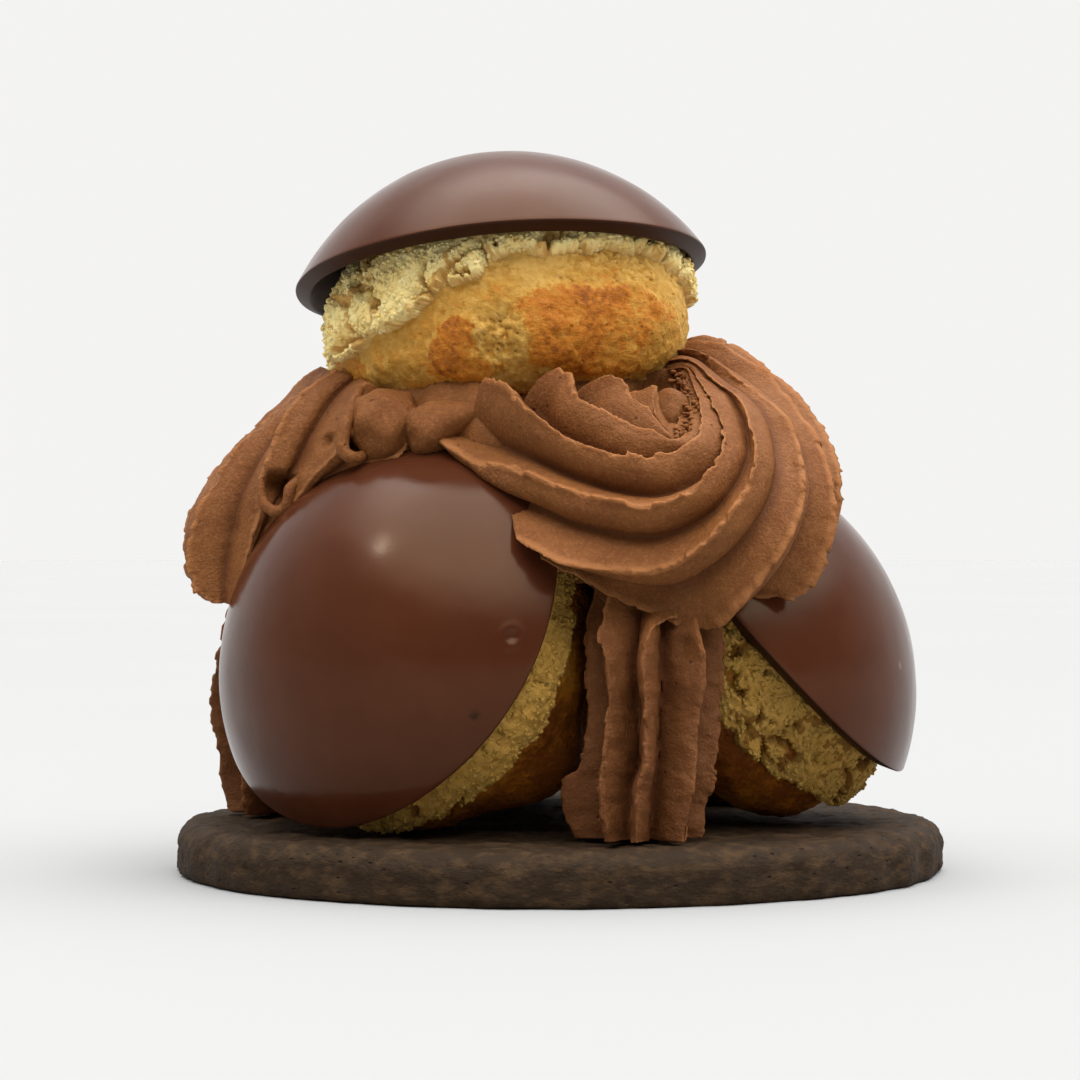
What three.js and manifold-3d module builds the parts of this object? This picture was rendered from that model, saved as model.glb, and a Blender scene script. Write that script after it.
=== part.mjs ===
// A single-portion chocolate Saint-Honore: a round biscuit base, three filled choux leaning outwards in a
// ring, a fourth chou on top, and whipped cream piped between and over them with a star nozzle. Each chou
// wears a crumbly craquelin crust and a moulded chocolate shell shaped like a shallow dome.
// Millimetres, +Z up. The origin is the centre of the base's flat underside.

import * as THREE from "three";
import { ParametricGeometry } from "three/addons/geometries/ParametricGeometry.js";
import { mergeVertices } from "three/addons/utils/BufferGeometryUtils.js";
import Module from "manifold-3d";

const wasm = await Module();
wasm.setup();

// ---- driving dimensions ----
const GAP = 0.3; // clearance between touching pieces

const BASE = {
  radius: 45,
  thickness: 6,
  round: 2.6, // rounding of the upper edge
  foot: 0.9, // small bevel round the underside
  wobble: 0.3, // unevenness of the baked edge
  sides: 40,
};

// A shell is a cap of a thin ball: the ball's radius and wall, and how far the cap reaches from its pole.
const SHELL = { radius: 28.2, wall: 2, halfAngle: 60, sides: 26, steps: 4 };

const CHOU = {
  radius: 20.6, // at the widest ring
  widest: -6, // height of that ring against the shell's rim plane
  drop: 13.4, // from the widest ring down to the underside
  crown: 14, // from the widest ring up to the top
  squareness: 0.7, // below 1 the underside is flatter and its corner tighter
  lump: 0.022, // unevenness, as a share of the radius
  sides: 22,
  steps: 8,
};

const CRUST = { thickness: 1.2, ragged: 3 }; // ragged: how uneven its lower edge is, in degrees

// The ring of three choux stands a little off the middle of the base.
const RING = { x: -1.7, y: 0, radius: 26.5 };

// azimuth and elevation: where the shell's pole points. rim: height of the middle of the shell's rim.
// crust: how far the crust reaches below the widest ring, in degrees round the chou's outline, how much
// further it reaches on one side, and the direction of that side.
const RING_CHOUX = [
  { name: "front_left", azimuth: -131.8, elevation: 24.6, rim: 29.4, crust: { reach: 1, more: 5, side: 30 } },
  { name: "right", azimuth: -12, elevation: 40.7, rim: 30.6, crust: { reach: 12, more: 3, side: 40 } },
  { name: "back_left", azimuth: 108, elevation: 33, rim: 30, crust: { reach: 7, more: 4, side: 120 } },
];

const TOP_CHOU = {
  name: "top",
  at: [-6.7, -0.7, 70.1],
  azimuth: 119,
  elevation: 79,
  aside: 1.2, // the chou sits a little to one side under its shell
  crust: { reach: 0, more: 10, side: 185 },
};

// Piped cream. A stroke is a star section swept along a path: [x, y, z, radius] at each point.
const STAR = { teeth: 8, cut: 0.24 }; // cut: depth of the grooves, as a share of the radius
const COLUMN_STEPS = 5;
const ROSETTE_STEPS = 14;

// The columns fill the three gaps between the ring's choux.
const COLUMN = {
  out: 33.8, // from the ring's middle to the column's own middle
  radius: 8,
  foot: 7.8, // radius where it stands on the base
  top: 36,
  lean: 3, // how far the foot stands inside the belly
  tuck: 5, // how far the top leans in again
};
const COLUMNS = [
  { name: "front", azimuth: -68 },
  { name: "left", azimuth: 168 },
  { name: "back", azimuth: 48 },
];

// The front rosette starts on the left, runs under, round the right and curls up against the top chou.
const ROSETTE = [
  [-9.1, -20, 49, 7],
  [-4.3, -22, 47, 9.8],
  [2.3, -25, 43.2, 10.6],
  [8.9, -27, 40.6, 10.9],
  [15.5, -28, 40.8, 10.6],
  [20.9, -27, 44.4, 9.8],
  [23.3, -24, 49.5, 8.6],
  [22.5, -19, 54.1, 7],
  [20.2, -14, 57.6, 5.4],
  [17, -9, 59.7, 4],
];
const ROSETTE_FACE = [0.3, -0.8, 0.52]; // the way the swirl faces

// The same swirl stands over each column; drop is how much lower its curled head sits.
const ROSETTES = [
  { name: "front", turn: 0, drop: 0 },
  { name: "left", turn: -120, drop: 4 },
  { name: "back", turn: 120, drop: 2 },
];

// The bed of cream in the middle, between the tops of the ring's choux and the top chou.
const BED = { bottom: 38, neck: 12, radius: 23.5, shoulder: 46.5, top: 60, edge: 6, sides: 16 };

// How coarsely a cut piece is tidied afterwards; cream has more cuts and takes a little more.
const TIDY = { crisp: 0.05, cream: 0.15 };

// ---- materials ----
const paint = (color, roughness) => new THREE.MeshStandardMaterial({ color, roughness, metalness: 0 });
const LOOK = {
  biscuit: paint(0x2c1a12, 0.9),
  pastry: paint(0xc98a34, 0.75),
  crust: paint(0xcdb36b, 0.85),
  shell: paint(0x3a1a10, 0.3),
  cream: paint(0x86543a, 0.7),
};

// ---- helpers ----
const radians = THREE.MathUtils.degToRad;
const Z_UP = new THREE.Vector3(0, 0, 1);

function direction(azimuth, elevation) {
  const flat = Math.cos(radians(elevation));
  return new THREE.Vector3(
    flat * Math.cos(radians(azimuth)),
    flat * Math.sin(radians(azimuth)),
    Math.sin(radians(elevation)),
  );
}

// A closed skin whose point at (turn, along) is given by place, with along 0 and 1 on single points.
function skin(place, sides, steps) {
  const write = (u, v, target) => target.copy(place(u * 2 * Math.PI, v));
  return new ParametricGeometry(write, sides, steps);
}

// A closed skin of points [r, z] turned about Z; the outline may change with the direction.
function lathed(sides, outlineAt) {
  const place = (turn, along) => {
    const outline = outlineAt(turn);
    const [r, z] = outline[Math.round(along * (outline.length - 1))];
    return new THREE.Vector3(r * Math.cos(turn), r * Math.sin(turn), z);
  };
  return skin(place, sides, outlineAt(0).length - 1);
}

// A closed geometry as a solid for joining and cutting.
function solidOf(geometry) {
  const bare = geometry.clone();
  bare.deleteAttribute("normal");
  bare.deleteAttribute("uv");
  const merged = mergeVertices(bare, 1e-3);
  const mesh = new wasm.Mesh({
    numProp: 3,
    vertProperties: new Float32Array(merged.attributes.position.array),
    triVerts: new Uint32Array(merged.index.array),
  });
  return new wasm.Manifold(mesh);
}

// The largest single body of a solid, with slivers under the given size smoothed away.
function mainBody(solid, tolerance) {
  const bodies = solid.simplify(tolerance).decompose();
  return bodies.reduce((a, b) => (b.volume() > a.volume() ? b : a));
}

function geometryOf(solid) {
  const mesh = solid.getMesh();
  const points = new Float32Array(mesh.numVert * 3);
  for (let i = 0; i < mesh.numVert; i++) {
    points.set(mesh.vertProperties.subarray(i * mesh.numProp, i * mesh.numProp + 3), i * 3);
  }
  const geometry = new THREE.BufferGeometry();
  geometry.setAttribute("position", new THREE.BufferAttribute(points, 3));
  geometry.setIndex(new THREE.BufferAttribute(mesh.triVerts, 1));
  geometry.computeVertexNormals();
  return geometry;
}

// ---- the base: a disc with a rounded, slightly uneven edge and a flat underside ----
function baseGeometry(grow = 0) {
  const { radius, thickness, round, foot, wobble, sides } = BASE;
  const shoulder = round * (1 - Math.SQRT1_2); // halfway round the upper edge
  return lathed(sides, (turn) => {
    const rim = radius + grow + wobble * (Math.cos(8 * turn) + 0.5 * Math.cos(12 * turn + 1) - 1);
    return [
      [0, 0],
      [rim - foot, 0],
      [rim, foot],
      [rim, thickness - round],
      [rim - shoulder, thickness + grow - shoulder],
      [rim - round, thickness + grow],
      [0, thickness + grow],
    ];
  });
}

// ---- a chou: its own frame has the shell's rim plane at z = 0 and the shell's pole on +Z ----

// The outline at an angle round it (-90 underside, 0 widest, 90 top), pushed out by offset.
function chouPoint(turn, round, offset, seed) {
  const s = Math.sin(round);
  const c = Math.abs(Math.cos(round));
  const power = s < 0 ? CHOU.squareness : 1;
  const height = s < 0 ? CHOU.drop : CHOU.crown;
  const z = CHOU.widest + Math.sign(s) * (height + offset) * Math.abs(s) ** power;
  const bare = 1 - THREE.MathUtils.smoothstep(z, CHOU.widest, 0); // even under the shell
  const uneven = CHOU.lump * bare * (Math.sin(3 * turn + seed) + 0.7 * Math.sin(5 * turn + 2 * seed));
  const r = (CHOU.radius * (1 + uneven) + offset) * c ** power;
  return new THREE.Vector3(r * Math.cos(turn), r * Math.sin(turn), z);
}

function chouGeometry(seed, grow = 0) {
  const place = (turn, along) => chouPoint(turn, (along - 0.5) * Math.PI, grow, seed);
  return skin(place, CHOU.sides, CHOU.steps);
}

// The crust covers the chou's crown down to a ragged edge: out from the inner pole to the edge, then back.
// Its rings stand over the chou's own rings, so the two stay apart by the gap all over.
function crustGeometry({ reach, more, side }, seed) {
  const rings = CHOU.steps / 2 + 2; // from the edge's middle (0) and its corner (1) to the pole
  const least = radians(2); // a ring stays this far above the edge
  const place = (turn, along) => {
    const ragged = CRUST.ragged * Math.sin(7 * turn + seed) * Math.cos(4 * turn);
    const low = -radians(reach + more * Math.cos(turn - radians(side)) + ragged);
    const ring = Math.round(Math.abs(along - 0.5) * 2 * rings);
    const level = (Math.PI / CHOU.steps) * (ring - 2);
    const round = ring < 2 ? low : Math.max(level, low + least);
    const share = ring === 0 ? 0.5 : along < 0.5 ? 0 : 1; // of the way through the crust
    return chouPoint(turn, round, GAP + share * CRUST.thickness, seed);
  };
  return skin(place, CHOU.sides, 2 * rings);
}

// A point of a shell's section: r from the sphere's own centre, polar from the pole.
function shellPoint(turn, r, polar) {
  const flat = r * Math.sin(polar);
  const z = r * Math.cos(polar) - SHELL.radius * Math.cos(radians(SHELL.halfAngle));
  return new THREE.Vector3(flat * Math.cos(turn), flat * Math.sin(turn), z);
}

// A spherical cap of even wall, cut square to its own surface at the rim: from the inner pole out to the
// middle of the cut edge and back to the outer pole.
function shellGeometry() {
  const { radius, halfAngle, wall, sides, steps } = SHELL;
  const place = (turn, along) => {
    const station = Math.round((along - 0.5) * 2 * (steps + 1));
    const r = radius - (station === 0 ? wall / 2 : station < 0 ? wall : 0);
    const share = station === 0 ? 1 : (steps + 1 - Math.abs(station)) / steps;
    return shellPoint(turn, r, radians(halfAngle) * share);
  };
  return skin(place, sides, 2 * (steps + 1));
}

// The room a shell takes up, with the gap round it, closed flat across its rim.
function shellRoomGeometry() {
  const { radius, halfAngle, wall, sides, steps } = SHELL;
  const edge = radians(halfAngle) + GAP / radius;
  const place = (turn, along) => {
    const station = Math.round(along * (steps + 2));
    const lip = shellPoint(turn, radius - wall - GAP, edge);
    if (station === 0) {
      return new THREE.Vector3(0, 0, lip.z);
    }
    return station === 1 ? lip : shellPoint(turn, radius + GAP, (edge * (steps + 2 - station)) / steps);
  };
  return skin(place, sides, steps + 2);
}

// ---- piped cream ----
function strokeSections(points, face, steps, grow) {
  const path = new THREE.CatmullRomCurve3(points.map(([x, y, z]) => new THREE.Vector3(x, y, z)));
  const sections = [];
  for (let i = 0; i <= steps; i++) {
    const t = i / steps;
    const centre = path.getPoint(t);
    const tangent = path.getTangent(t);
    const k = Math.min(Math.floor(t * (points.length - 1)), points.length - 2);
    const between = t * (points.length - 1) - k;
    const radius = THREE.MathUtils.lerp(points[k][3], points[k + 1][3], between) + grow;
    const out = face.clone().addScaledVector(tangent, -face.dot(tangent)).normalize();
    const side = new THREE.Vector3().crossVectors(tangent, out);
    const ring = [];
    for (let j = 0; j < 2 * STAR.teeth; j++) {
      const angle = (j * Math.PI) / STAR.teeth;
      const r = radius * (j % 2 ? 1 - STAR.cut : 1);
      ring.push(
        centre.clone().addScaledVector(out, r * Math.cos(angle)).addScaledVector(side, r * Math.sin(angle)),
      );
    }
    sections.push({ centre, ring });
  }
  return sections;
}

// Each length between two sections is a closed solid of its own, so a stroke that curls into itself joins up.
function strokeSolid(points, face, steps, grow = 0) {
  const sections = strokeSections(points, face, steps, grow);
  const lengths = [];
  for (let i = 0; i < steps; i++) {
    const a = sections[i];
    const b = sections[i + 1];
    const count = a.ring.length;
    const place = (turn, along) => {
      const j = Math.round((turn / (2 * Math.PI)) * count) % count;
      return [a.centre, a.ring[j], b.ring[j], b.centre][Math.round(along * 3)];
    };
    lengths.push(solidOf(skin(place, count, 3)));
  }
  return wasm.Manifold.union(lengths);
}

function columnPoints({ azimuth }) {
  const points = [];
  for (let i = 0; i <= COLUMN_STEPS; i++) {
    const t = i / COLUMN_STEPS;
    const belly = THREE.MathUtils.smoothstep(t, 0, 0.5);
    const out = COLUMN.out - COLUMN.lean * (1 - belly) - COLUMN.tuck * t ** 3;
    points.push([
      RING.x + out * Math.cos(radians(azimuth)),
      RING.y + out * Math.sin(radians(azimuth)),
      THREE.MathUtils.lerp(BASE.thickness - 1, COLUMN.top, t),
      THREE.MathUtils.lerp(COLUMN.foot, COLUMN.radius, belly),
    ]);
  }
  return points;
}

function turnAboutRing([x, y, z, r], turn, drop) {
  const c = Math.cos(radians(turn));
  const s = Math.sin(radians(turn));
  const dx = x - RING.x;
  const dy = y - RING.y;
  return [RING.x + c * dx - s * dy, RING.y + s * dx + c * dy, z - drop, r];
}

// The bed flares out over the ring's choux and is narrower again under the top chou.
function bedGeometry(grow = 0) {
  const outline = [
    [0, BED.bottom],
    [BED.neck + grow, BED.bottom],
    [BED.radius + grow, BED.shoulder],
    [BED.radius + grow, BED.top - BED.edge],
    [BED.radius + grow - BED.edge, BED.top],
    [0, BED.top],
  ];
  return lathed(BED.sides, () => outline).translate(RING.x, RING.y, 0);
}

// ---- assembly ----
const cake = new THREE.Group();

function addPiece(name, solid, material, tolerance = TIDY.crisp) {
  const mesh = new THREE.Mesh(geometryOf(mainBody(solid, tolerance)), material);
  mesh.name = name;
  cake.add(mesh);
}

const base = solidOf(baseGeometry());
const baseGrown = solidOf(baseGeometry(GAP));
addPiece("base_biscuit", base, LOOK.biscuit);

// Where a chou stands: the middle of its shell's rim, and its pole's direction.
function standing(chou) {
  const pole = direction(chou.azimuth, chou.elevation);
  const at = chou.at
    ? new THREE.Vector3(...chou.at)
    : new THREE.Vector3(
        RING.x + RING.radius * Math.cos(radians(chou.azimuth)),
        RING.y + RING.radius * Math.sin(radians(chou.azimuth)),
        chou.rim,
      );
  const turned = new THREE.Quaternion().setFromUnitVectors(Z_UP, pole);
  const shellFrame = new THREE.Matrix4().compose(at, turned, new THREE.Vector3(1, 1, 1));
  const pastryFrame = shellFrame.clone().multiply(new THREE.Matrix4().makeTranslation(chou.aside ?? 0, 0, 0));
  return { shellFrame, pastryFrame };
}

// The pieces of every chou, and the room each one takes up, which cuts what touches it.
const rooms = [];
[...RING_CHOUX, TOP_CHOU].forEach((chou, index) => {
  const seed = 1.7 * index;
  const { shellFrame, pastryFrame } = standing(chou);
  const inPlace = (geometry, frame) => solidOf(geometry.applyMatrix4(frame));
  const shell = inPlace(shellGeometry(), shellFrame);
  const crust = inPlace(crustGeometry(chou.crust, seed), pastryFrame);
  const pastry = inPlace(chouGeometry(seed), pastryFrame);
  const before = wasm.Manifold.union([baseGrown, ...rooms]);
  addPiece(`shell_${chou.name}`, shell.subtract(before), LOOK.shell);
  addPiece(`craquelin_${chou.name}`, crust.subtract(before), LOOK.crust);
  addPiece(`chou_${chou.name}`, pastry.subtract(before), LOOK.pastry);
  rooms.push(inPlace(shellRoomGeometry(), shellFrame));
  rooms.push(inPlace(chouGeometry(seed, CRUST.thickness + 3 * GAP), pastryFrame));
});

// Cream gives way to everything solid and to the cream piped before it. make(grow) makes the solid.
const firm = wasm.Manifold.union([baseGrown, ...rooms]);
const creamGrown = [];

function addCream(name, make) {
  const others = wasm.Manifold.union([firm, ...creamGrown]);
  addPiece(name, make(0).subtract(others), LOOK.cream, TIDY.cream);
  creamGrown.push(make(GAP));
}

addCream("cream_bed", (grow) => solidOf(bedGeometry(grow)));

for (const column of COLUMNS) {
  const points = columnPoints(column);
  const face = direction(column.azimuth, 0);
  addCream(`cream_column_${column.name}`, (grow) => strokeSolid(points, face, COLUMN_STEPS, grow));
}

for (const { name, turn, drop } of ROSETTES) {
  const points = ROSETTE.map((point, i) => turnAboutRing(point, turn, (drop * i) / (ROSETTE.length - 1)));
  const face = new THREE.Vector3(...ROSETTE_FACE).applyAxisAngle(Z_UP, radians(turn)).normalize();
  addCream(`cream_rosette_${name}`, (grow) => strokeSolid(points, face, ROSETTE_STEPS, grow));
}

export default cake;
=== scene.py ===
"""Looks of a single-portion saint-honore cake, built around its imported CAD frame.

A chocolate biscuit disc carries three choux under domed chocolate shells, with crumbly
craquelin showing below each shell. Star-piped chocolate cream climbs between them and folds
over in rosettes, and a fourth chou sits on top.

Lengths in the tables are millimetres in the frame's own axes; meshes are made in metres.
"""

from math import cos, pi, radians, sin

import bpy
import numpy as np
from bpy.props import FloatProperty, FloatVectorProperty, IntProperty, PointerProperty
from mathutils import Matrix, Vector, noise


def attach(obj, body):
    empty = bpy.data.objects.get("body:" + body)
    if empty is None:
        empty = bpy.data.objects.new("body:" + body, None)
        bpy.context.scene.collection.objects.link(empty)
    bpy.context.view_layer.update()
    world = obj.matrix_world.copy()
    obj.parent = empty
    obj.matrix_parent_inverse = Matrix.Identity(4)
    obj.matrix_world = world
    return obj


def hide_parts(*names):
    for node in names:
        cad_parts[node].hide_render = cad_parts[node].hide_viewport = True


bl_info = {
    "name": "Saint-honore cake",
    "version": (1, 0, 0),
    "blender": (4, 5, 0),
    "location": "3D Viewport > Sidebar > Cake",
    "description": "Builds the looks of a single-portion saint-honore around its packed frame",
    "category": "Object",
}

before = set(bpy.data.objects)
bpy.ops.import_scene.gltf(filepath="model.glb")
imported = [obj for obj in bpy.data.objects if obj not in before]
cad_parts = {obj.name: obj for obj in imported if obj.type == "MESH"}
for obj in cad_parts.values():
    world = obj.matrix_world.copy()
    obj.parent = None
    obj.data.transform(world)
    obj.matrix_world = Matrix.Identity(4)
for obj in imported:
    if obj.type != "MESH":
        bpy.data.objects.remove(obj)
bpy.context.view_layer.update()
MM = 0.001

# Where things stand, the same as in the CAD part.
RING_MIDDLE = Vector((-1.7, 0.0, 0.0))
RING_RADIUS = 26.5
SHELL_RADIUS = 28.2
SHELL_WALL = 2.0
SHELL_HALF_ANGLE = 60.0
CHOU_RADIUS = 20.6
CHOU_WIDEST = -6.0
CHOU_DROP = 13.4
CHOU_CROWN = 14.0
CHOU_SQUARENESS = 0.7
CHOU_LUMP = 0.022
BASE_RADIUS = 45.0
BASE_THICKNESS = 6.0

CAMERA_PLACE = (-2.1, -400, 38.9)
LAMP_PLACE = (-300, -180, 490)
LAMP_TARGET = (0, 0, 45)
LAMP_SIDES = (60, 42)

# One row for each chou. Its axis points to "azimuth" and "elevation", in degrees, and "rim" is
# the height of its shell's rim. "middle" is given for a chou that isn't on the ring, and "aside"
# is how far it has slipped under its shell. "hem" is how far down the craquelin hangs below that
# rim, as (turn in degrees, height) pairs around the chou. "cracks", "holes" and "crumbs" say how
# much there is of each, crumbs in millions for each square metre; "chunk" is the distance between
# cracks, "rag" how far the hem wanders, and the key after "rag" how much painted shade darkens the
# craquelin of a lower chou. "marks" are dents, bubbles and specks in the shell: the place, size,
# depth and height of the raised rim.
PASTRIES = {
    "front_left": {
        "azimuth": -131.8, "elevation": 24.6, "rim": 29.4, "number": 0,
        "hem": [(-180, -7), (-90, -8), (-60, -8), (-20, -7.5), (10, -6.5), (40, -4.5), (70, -7), (120, -7)],
        "cracks": 0.1, "holes": 0.28, "crumbs": 1.3, "chunk": 6, "rag": 1.3, "toast": 1.25,
        "marks": [((-5.1, -37.4, 28.6), 0.75, 0.42, 0.12), ((-9.1, -38.1, 20.0), 0.4, 0.4, 0.0)],
    },
    "right": {
        "azimuth": -12.0, "elevation": 40.7, "rim": 30.6, "number": 1,
        "hem": [(-180, -8), (-140, -8), (-100, -9.5), (-60, -10), (-30, -9), (30, -9), (110, -8)],
        "cracks": 0.18, "holes": 0.345, "crumbs": 2.3, "chunk": 5.5, "rag": 1.2, "toast": 1.22,
        "marks": [((24.5, -26.0, 31.0), 0.3, -0.1, 0.0)],
    },
    "back_left": {
        "azimuth": 108.0, "elevation": 33.0, "rim": 30.0, "number": 2,
        "hem": [(-180, -8), (-120, -9), (-60, -7), (0, -8.5), (60, -9.5), (120, -9)],
        "cracks": 0.2, "holes": 0.34, "crumbs": 2.3, "chunk": 5.5, "rag": 1.4, "toast": 0.9,
        "marks": [],
    },
    "top": {
        "azimuth": 119.0, "elevation": 79.0, "rim": 70.1, "middle": (-6.7, -0.7), "aside": 1.2,
        "number": 3,
        "hem": [(-180, -10), (-155, -10), (-128, -8.5), (-108, -5.5), (-88, -3), (-45, -2.6),
                (-14, -4.5), (20, -6), (90, -7), (150, -9)],
        "cracks": 0.22, "holes": 0.3, "crumbs": 2.1, "chunk": 5, "rag": 1.3, "toast": 0.0,
        "marks": [((-16.9, -20.6, 72.4), 0.7, 0.45, 0.05), ((4.0, -22.5, 73.2), 0.35, -0.15, 0.0)],
    },
}

# Crest lines of the front rosette, from its torn tails at the left to where it starts, under
# the top chou at the right. All lines have the same number of stations.
FRONT_CRESTS = {
    "inner_fold": [(4.7, -19, 54.7), (6.7, -20, 54.9), (8.7, -20.5, 55.3), (10, -21, 55.7),
        (11, -22, 55.5), (10.7, -23.5, 54.2), (11.2, -26, 51.7), (12.2, -22, 52.3), (13.1, -16, 55),
        (13.5, -13, 56.8), (13.6, -11, 57.8)],
    "tail_1": [(6.4, -25, 57.1), (7.5, -25.5, 56.2), (7.9, -26, 55.2), (8.7, -27, 54.4),
        (10, -28, 53), (11.2, -29, 51.5), (12.5, -29.5, 50.4), (13.4, -25, 51.8), (13.9, -19, 54.7),
        (14, -15, 56.7), (13.8, -12, 58)],
    "tail_2": [(0.2, -24.5, 57.9), (1.3, -26, 56.8), (2, -29, 54.5), (4.7, -30, 53.1),
        (8.1, -31, 51), (10.4, -31.5, 50.5), (12.8, -31.5, 49.8), (14.4, -28.5, 51.2),
        (14.8, -21.5, 54.4), (14.5, -16.5, 56.7), (13.8, -12.5, 58.3)],
    "tail_3": [(-8.3, -23.5, 56.3), (-5.6, -26.5, 55.5), (-3, -30, 52.7), (3.1, -33.5, 49.1),
        (8.3, -34.5, 48), (11.2, -34, 48.2), (14.2, -33, 49.7), (15.6, -30, 51.4),
        (15.7, -23.5, 54.5), (15, -17.5, 57), (13.9, -13, 58.6)],
    "tail_4": [(-13.5, -22.5, 50.3), (-10, -26.5, 48), (-4.7, -30.5, 46.7), (0.3, -34.5, 44.7),
        (7.4, -37, 42.9), (12.1, -37.5, 43.4), (16, -36, 46.1), (18.1, -31.5, 49.5),
        (17.1, -24.5, 54), (15.9, -18.5, 56.9), (14.1, -13, 58.8)],
    "tail_5": [(-4.5, -35, 38.9), (-2.9, -36, 38.1), (-1.1, -37, 37.2), (1.2, -37.5, 36.4),
        (8.2, -37.5, 35.6), (13.5, -38, 37.1), (17.7, -38, 41), (21.2, -33.5, 47.3),
        (20.3, -25.5, 53.9), (17.8, -19, 56.7), (14.2, -12.5, 59.7)],
    "tongue": [(-2, -33, 37.2), (1.2, -33, 35.4), (5.7, -32.5, 33), (10.5, -33, 31.2),
        (15.6, -33, 29), (19.3, -34.5, 32), (24.1, -34.5, 38), (26.6, -31, 44.4), (25.7, -24, 51.8),
        (21.2, -16.5, 56.5), (15, -9.5, 60.9)],
    "outer_1": [(0.7, -26, 35.4), (4.6, -25, 33.3), (10.1, -24, 31.8), (15.7, -25, 30.9),
        (22.6, -28, 32.6), (26.8, -29, 33.2), (29.7, -28.5, 38.9), (30.1, -26, 45.3),
        (27.6, -19.5, 52.4), (22.1, -11.5, 59.3), (15.9, -6, 62)],
    "outer_2": [(1.9, -18, 36.6), (6.4, -17, 34.9), (12.7, -16, 33.8), (18.8, -18, 33.2),
        (24.7, -20, 34.6), (28.4, -21.5, 36.7), (30.8, -22, 41.1), (31.5, -20.5, 46.1),
        (29.4, -14.5, 52.5), (23.8, -7.5, 59.1), (17, -2, 62.9)],
    "behind_1": [(0.2, -15, 42.3), (4.8, -13.5, 40), (10.5, -12, 38.3), (16.2, -13, 38.3),
        (21.3, -14.5, 40), (25.2, -16, 42.3), (28, -16.5, 45.1), (28.9, -14.5, 48.6),
        (27.4, -9, 53.9), (22.8, -3.5, 59.4), (16.9, 1, 62)],
    "behind_2": [(-1.5, -16, 50.3), (1.9, -15, 50.3), (5.9, -15, 49.2), (10.4, -16, 47.4),
        (14.9, -17, 46.3), (18.8, -18, 46.8), (22.2, -18, 48.5), (23.9, -15, 51.4), (23, -10, 54.8),
        (19.9, -5, 58.2), (15.9, -1, 60.4)],
    "spine": [(-3, -21, 47), (0.5, -22.5, 46), (3, -24.5, 44.5), (7, -26.5, 43), (11, -28, 42),
        (15.5, -28.5, 42.5), (20, -27.5, 45), (22, -23.5, 50), (20.5, -17, 55), (17, -11, 58),
        (14, -6, 60)],
}

# Crest lines of the left rosette, from under the top chou down to its pointed end.
LEFT_CRESTS = {
    "outline": [(-27.9, 3, 59.4), (-30.3, 3, 58), (-32.4, 2.5, 55.6), (-34.9, 2, 53.4),
        (-37.8, 1.5, 50.3), (-40.8, 1, 46.9), (-43.2, 0, 42.7), (-43.9, -1, 38.3),
        (-43.1, -3, 34.2), (-40.9, -6, 31.9)],
    "blade": [(-27, -2, 58.8), (-29.1, -3, 57.2), (-31.2, -4, 55.1), (-33.7, -5, 52.9),
        (-36.4, -6, 50.6), (-39.3, -7, 46.6), (-41.8, -8, 41.6), (-42.7, -8.5, 37.2),
        (-41.9, -9.5, 33.6), (-39.7, -10.5, 31.6)],
    "spur": [(-25.5, -8, 58.6), (-27.7, -10, 57.1), (-29.8, -11.5, 55.2), (-31.2, -12.5, 53),
        (-32.6, -13, 50.2), (-33.8, -13.5, 46.9), (-34.2, -14, 44.4), (-34.5, -13.5, 41.2),
        (-35.9, -12.5, 36.6), (-37.4, -12, 31.3)],
    "fold": [(-21.7, -15, 57), (-22.3, -16.5, 56.4), (-22.9, -18, 55.2), (-23.5, -19.5, 53.3),
        (-24.2, -20.5, 51.1), (-24.9, -20.5, 48.8), (-27.1, -19, 46.8), (-29.9, -16.5, 43.4),
        (-33.9, -14, 38), (-37.1, -12.3, 31.4)],
    "on_shell": [(-17.8, -15, 54.9), (-17, -18, 52.5), (-16.9, -20.5, 50.1), (-18, -21.5, 48.4),
        (-20.1, -21, 47.7), (-22.6, -20, 46.4), (-25.8, -18, 44.7), (-29.2, -15.5, 42.1),
        (-33.5, -12.5, 37.4), (-37.1, -11.5, 31.5)],
    "under_1": [(-18.3, -8, 55.1), (-18.9, -8, 51.7), (-20.6, -9, 49.3), (-22.9, -9, 47.6),
        (-25.2, -9, 45.8), (-28.2, -8.5, 43.5), (-31.1, -8, 40.6), (-34.4, -7.5, 37.7),
        (-36.4, -7, 34.8), (-37.4, -7.5, 31.9)],
    "under_2": [(-22.3, 2, 56.2), (-24.7, 2, 53.2), (-27.1, 2, 50.8), (-29.5, 2, 49),
        (-31.9, 2, 46.6), (-34.2, 2, 44.3), (-36.5, 1, 41.3), (-38.6, 0, 38.3), (-39.6, -2, 35.4),
        (-39.5, -5, 32.8)],
    "back_1": [(-25.7, 8, 59.2), (-28.1, 9, 57.7), (-30.6, 10, 55.6), (-33.1, 10.5, 53.5),
        (-35.9, 10.5, 50.4), (-38.5, 10, 47.2), (-40.6, 8.5, 43.1), (-41.8, 6.5, 38.9),
        (-41.9, 3, 35.3), (-40.7, -2, 32.8)],
    "back_2": [(-26.9, 6, 59.6), (-29.3, 7, 58.3), (-31.7, 7.5, 55.8), (-34.4, 7.5, 53.6),
        (-37.3, 7, 50.5), (-40.4, 6.5, 47.1), (-42.7, 5.5, 42.9), (-43.7, 4, 38.5), (-43, 0, 34.5),
        (-41, -4, 32.2)],
    "spine": [(-23.7, -3.2, 57.6), (-25.3, -3.8, 55.8), (-27, -4.6, 53.6), (-29, -5.1, 51.6),
        (-31.3, -5.4, 49.2), (-33.6, -5.6, 46.4), (-35.9, -5.8, 43.1), (-37.6, -5.8, 39.5),
        (-38.8, -6.4, 35.5), (-39, -7.9, 31.9)],
}

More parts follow.
